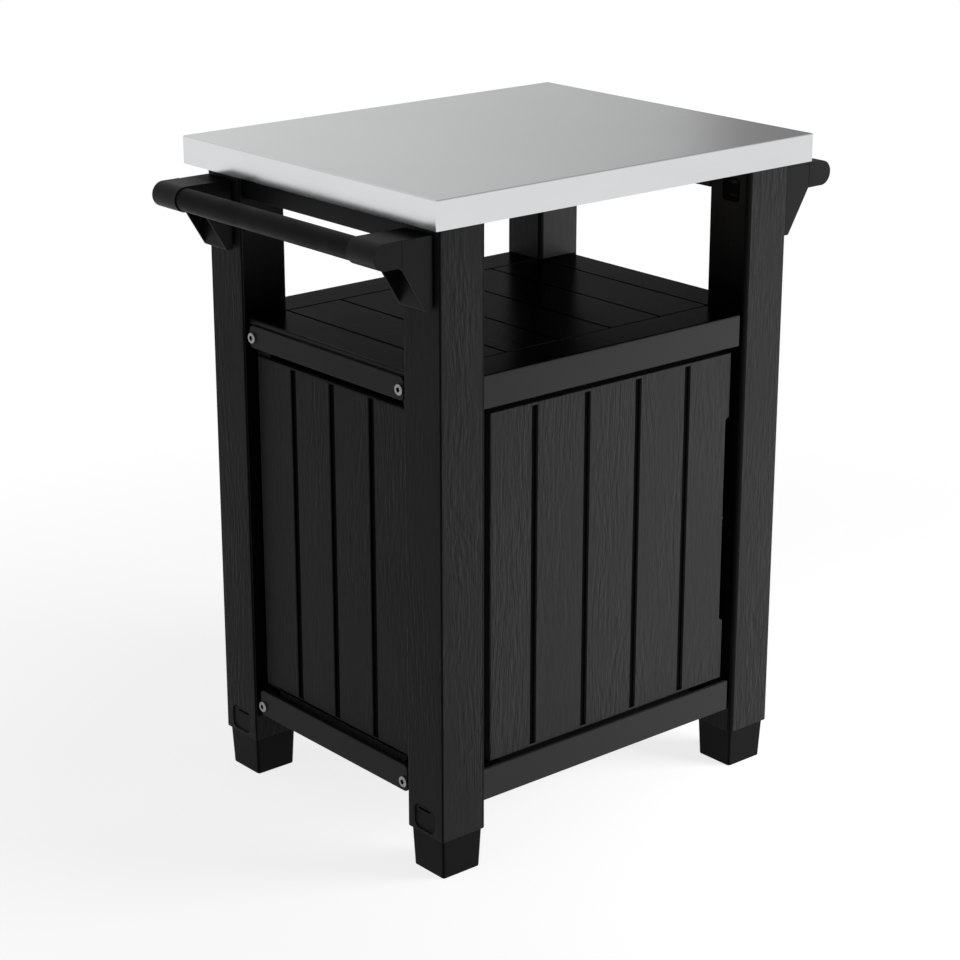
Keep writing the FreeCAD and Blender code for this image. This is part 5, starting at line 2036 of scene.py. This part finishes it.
@dataclass
class RailScrews(Assembly):
    """The large-headed screws at the ends of the side rails."""

    face_x: float = 294.7
    y: float = 156.3
    heights: tuple[float, ...] = (643.6, 111.4)
    head_radius: float = 7.5
    head_height: float = 3.0
    rim_share: float = 0.45
    rim_steps: int = 6
    shank_radius: float = 3.0
    shank_length: float = 14.0
    socket_radius: float = 3.6
    socket_depth: float = 2.0
    sides: int = 36

    def pieces(self) -> Iterable[Piece]:
        """One piece with all eight screws, as their node has."""
        group = Shape()
        for height in self.heights:
            for end, side in CORNERS:
                screw = self.screw()
                screw.carried(Vector((self.face_x, self.y, height)))
                screw.mirrored(side, end)
                group.join(screw)
                screw.mesh.free()
        yield Piece("rail_screw_heads", group, SCREW, ("rail_screws",), more_finishes=(SOCKET_SHADE,))

    def screw(self) -> Shape:
        """A screw on the X axis, its round-edged head outwards, with a hexagon socket.

        Returns:
            The shape.
        """
        rim = self.head_height * self.rim_share
        arc = [
            (self.head_radius - rim + rim * math.cos(angle), self.head_height - rim + rim * math.sin(angle))
            for angle in (math.radians(90 * step / self.rim_steps) for step in range(self.rim_steps + 1))
        ]
        shank, low = self.shank_radius, -self.shank_length
        section = [(0.0, low), (shank, low), (shank, 0.0),
                   (self.head_radius, 0.0), *arc, (0.0, self.head_height)]
        shape = Shape.turned(section, self.sides)
        self.sink_socket(shape)
        shape.laid_along(Axis.X)
        return shape

    def sink_socket(self, shape: Shape) -> None:
        """Opens the flat of the head round a hexagon, carries the hexagon down and paints shade in the
        socket.

        Args:
            shape: The screw, head upwards.
        """
        flat = Extent(z=Span.around(self.head_height, 0.02))
        cap = shape.faces(Axis.Z.unit, flat)
        rim = [edge for edge in {edge for face in cap for edge in face.edges}
               if sum(face in cap for face in edge.link_faces) == 1]
        bmesh.ops.delete(shape.mesh, geom=cap, context="FACES")
        ring = bmesh.ops.create_circle(shape.mesh, segments=6, radius=self.socket_radius)["verts"]
        bmesh.ops.translate(shape.mesh, vec=(0, 0, self.head_height), verts=ring)
        sides = list({edge for vert in ring for edge in vert.link_edges})
        split = bmesh.ops.subdivide_edges(shape.mesh, edges=sides, cuts=self.sides // 6 - 1)["geom_inner"]
        hexagon = {edge for item in split for edge in getattr(item, "link_edges", [])}
        bmesh.ops.bridge_loops(shape.mesh, edges=[edge for edge in rim if edge.is_valid] + list(hexagon))
        down = bmesh.ops.extrude_edge_only(shape.mesh, edges=list(hexagon))["geom"]
        verts = [item for item in down if isinstance(item, bmesh.types.BMVert)]
        bmesh.ops.translate(shape.mesh, vec=(0, 0, -self.socket_depth), verts=verts)
        bottom = [item for item in down if isinstance(item, bmesh.types.BMEdge)]
        bmesh.ops.contextual_create(shape.mesh, geom=bottom)
        shape.face_outwards()
        # The socket's walls and floor get the painted shade finish
        reach = Span.both(self.socket_radius)
        depth = self.head_height - self.socket_depth
        shape.paint(Extent(reach, reach, Span(depth, self.head_height).grown(-0.01)))
        shape.paint(Extent(reach, reach, Span.thin(depth)))


@dataclass
class Studio:
    """Floor, light and the camera of the photograph."""

    frame_pixels: float = 960.0
    focal_pixels: float = 2466.7
    camera_place: Vector = field(default_factory=lambda: Vector((-2.1041, -2.4448, 1.5161)))
    camera_pitch: float = 18.76
    camera_yaw: float = -40.28
    sensor: float = 36.0
    floor_radius: float = 30.0
    ambient: float = 0.15
    horizon: tuple[float, float] = (0.02, 0.12)
    # From the middle, in metres: the floor's shadow is whole up to the first and gone past the second
    fade: tuple[float, float] = (0.6, 1.6)
    floor_grey: Colour = (0.45, 0.45, 0.45)
    floor_lift: float = 0.8
    floor_bounce: Colour = (0.6, 0.6, 0.6)
    aim_height: float = 0.45
    walls: tuple[tuple[float, float], ...] = (
        (-179.0, 0.6), (-90.0, 0.7), (0.0, 0.82), (30.0, 0.83), (45.8, 0.48), (46.3, 0.24),
        (70.0, 0.27), (90.0, 0.6), (179.0, 0.6),
    )

    def build(self) -> None:
        """Sets the studio up."""
        scene = bpy.context.scene
        scene.view_settings.view_transform = "Standard"
        self.camera()
        self.world()
        self.floor()
        self.lamps()

    def camera(self) -> None:
        """The camera, from where the photograph was taken."""
        data = bpy.data.cameras.new("camera")
        data.sensor_width = self.sensor
        data.lens = self.focal_pixels / self.frame_pixels * self.sensor
        data.dof.use_dof = False
        made = bpy.data.objects.new("camera", data)
        made.location = self.camera_place
        made.rotation_euler = (math.radians(90.0 - self.camera_pitch), 0.0, math.radians(self.camera_yaw))
        bpy.context.scene.collection.objects.link(made)
        bpy.context.scene.camera = made

    def world(self) -> None:
        """Walls, white at the horizon, for gloss and glass, plain white for the camera, and an even light
        for the rest.
        """
        world = bpy.data.worlds.new("studio")
        world.use_nodes = True
        bpy.context.scene.world = world
        tree = Tree(world.node_tree)
        light = tree.add("ShaderNodeBackground", Color=rgba(WHITE), Strength=self.ambient)
        direction = tree.add("ShaderNodeTexCoord").outputs["Generated"]
        parts = tree.add("ShaderNodeSeparateXYZ", Vector=direction).outputs
        turn = tree.math("ARCTAN2", parts["X"], parts["Y"])
        ramp = tree.add("ShaderNodeValToRGB", Fac=tree.remap(turn, (-math.pi, math.pi)))
        stops = ramp.color_ramp.elements
        for azimuth, shade in self.walls:
            stop = stops.new(azimuth / 360.0 + 0.5)
            stop.color = (shade, shade, shade, 1.0)
        stops.remove(stops[0])
        stops.remove(stops[-1])
        horizon = tree.remap(parts["Z"], self.horizon)
        walls = tree.blend(horizon, WHITE, ramp.outputs["Color"])
        camera = tree.add("ShaderNodeLightPath").outputs["Is Camera Ray"]
        colour = tree.blend(camera, walls, WHITE)
        shown = tree.add("ShaderNodeBackground", Color=colour, Strength=1.0)
        tree.add("ShaderNodeOutputWorld", Surface=tree.mixed(seen(tree), light, shown).outputs[0])

    def floor(self) -> None:
        """A round white floor that keeps the cart's shadow and is plain white further out."""
        shape = Shape()
        bmesh.ops.create_circle(shape.mesh, cap_ends=True, segments=96, radius=self.floor_radius)
        data = bpy.data.meshes.new("floor")
        shape.mesh.to_mesh(data)
        shape.mesh.free()
        made = bpy.data.objects.new("floor", data)
        bpy.context.scene.collection.objects.link(made)
        data.materials.append(self.floor_material())

    def floor_material(self) -> bpy.types.Material:
        """Matt near the cart, where the shadow falls, and plain white further out.

        Returns:
            The material.
        """
        material = bpy.data.materials.new("white floor")
        material.use_nodes = True
        tree = Tree(material.node_tree)
        place = tree.add("ShaderNodeTexCoord").outputs["Object"]
        away = tree.add("ShaderNodeVectorMath", {"operation": "LENGTH"}, Vector=place).outputs["Value"]
        matt = tree.add("ShaderNodeBsdfDiffuse", Color=rgba(self.floor_grey))
        lift = tree.add("ShaderNodeEmission", Color=rgba(WHITE), Strength=self.floor_lift)
        near = tree.add("ShaderNodeAddShader")
        tree.feed(near.inputs[0], matt.outputs[0])
        tree.feed(near.inputs[1], lift.outputs[0])
        plain = tree.add("ShaderNodeEmission", Color=rgba(WHITE), Strength=1.0)
        faded = tree.mixed(tree.remap(away, self.fade), near, plain)
        quiet = tree.add("ShaderNodeBsdfDiffuse", Color=rgba(self.floor_bounce))
        tree.add("ShaderNodeOutputMaterial", Surface=tree.mixed(seen(tree), quiet, faded).outputs[0])
        return material

    def lamps(self) -> None:
        """Soft boxes: one close by at the front right, and a weak one at the left."""
        self.lamp("key", (1.15, -1.35, 0.5), 0.9, 34.0)
        self.lamp("fill", (-2.6, 0.4, 1.0), 1.6, 4.0)

    def lamp(self, name: str, place: tuple[float, float, float], size: float, power: float) -> None:
        """A square soft box that looks at the middle of the cart.

        Args:
            name: The lamp's name.
            place: Where it stands, in metres.
            size: The length of its sides.
            power: Its power in watts.
        """
        data = bpy.data.lights.new(name, "AREA")
        data.shape = "SQUARE"
        data.size = size
        data.energy = power
        made = bpy.data.objects.new(name, data)
        made.location = place
        made.visible_camera = False
        made.visible_glossy = False
        aim = Vector((0, 0, self.aim_height)) - Vector(place)
        made.rotation_euler = aim.to_track_quat("-Z", "Y").to_euler()
        bpy.context.scene.collection.objects.link(made)


def seen(tree: Tree) -> bpy.types.NodeSocket:
    """One where a camera, glossy or transmission ray looks, and nothing for other rays."""
    path = tree.add("ShaderNodeLightPath")
    gloss = tree.math("MAXIMUM", path.outputs["Is Glossy Ray"], path.outputs["Is Transmission Ray"])
    return tree.math("MAXIMUM", path.outputs["Is Camera Ray"], gloss)


def main() -> None:
    """Builds the cart and its studio."""
    logging.basicConfig(level=logging.INFO, format="%(message)s", stream=sys.stdout)
    Studio().build()
    for assembly in (Worktop(), Legs(), Handles(), Shelves(), Walls(), Door(), RailScrews()):
        LOG.info("%s", type(assembly).__name__)
        assembly.build()


if __name__ == "__main__":
    main()
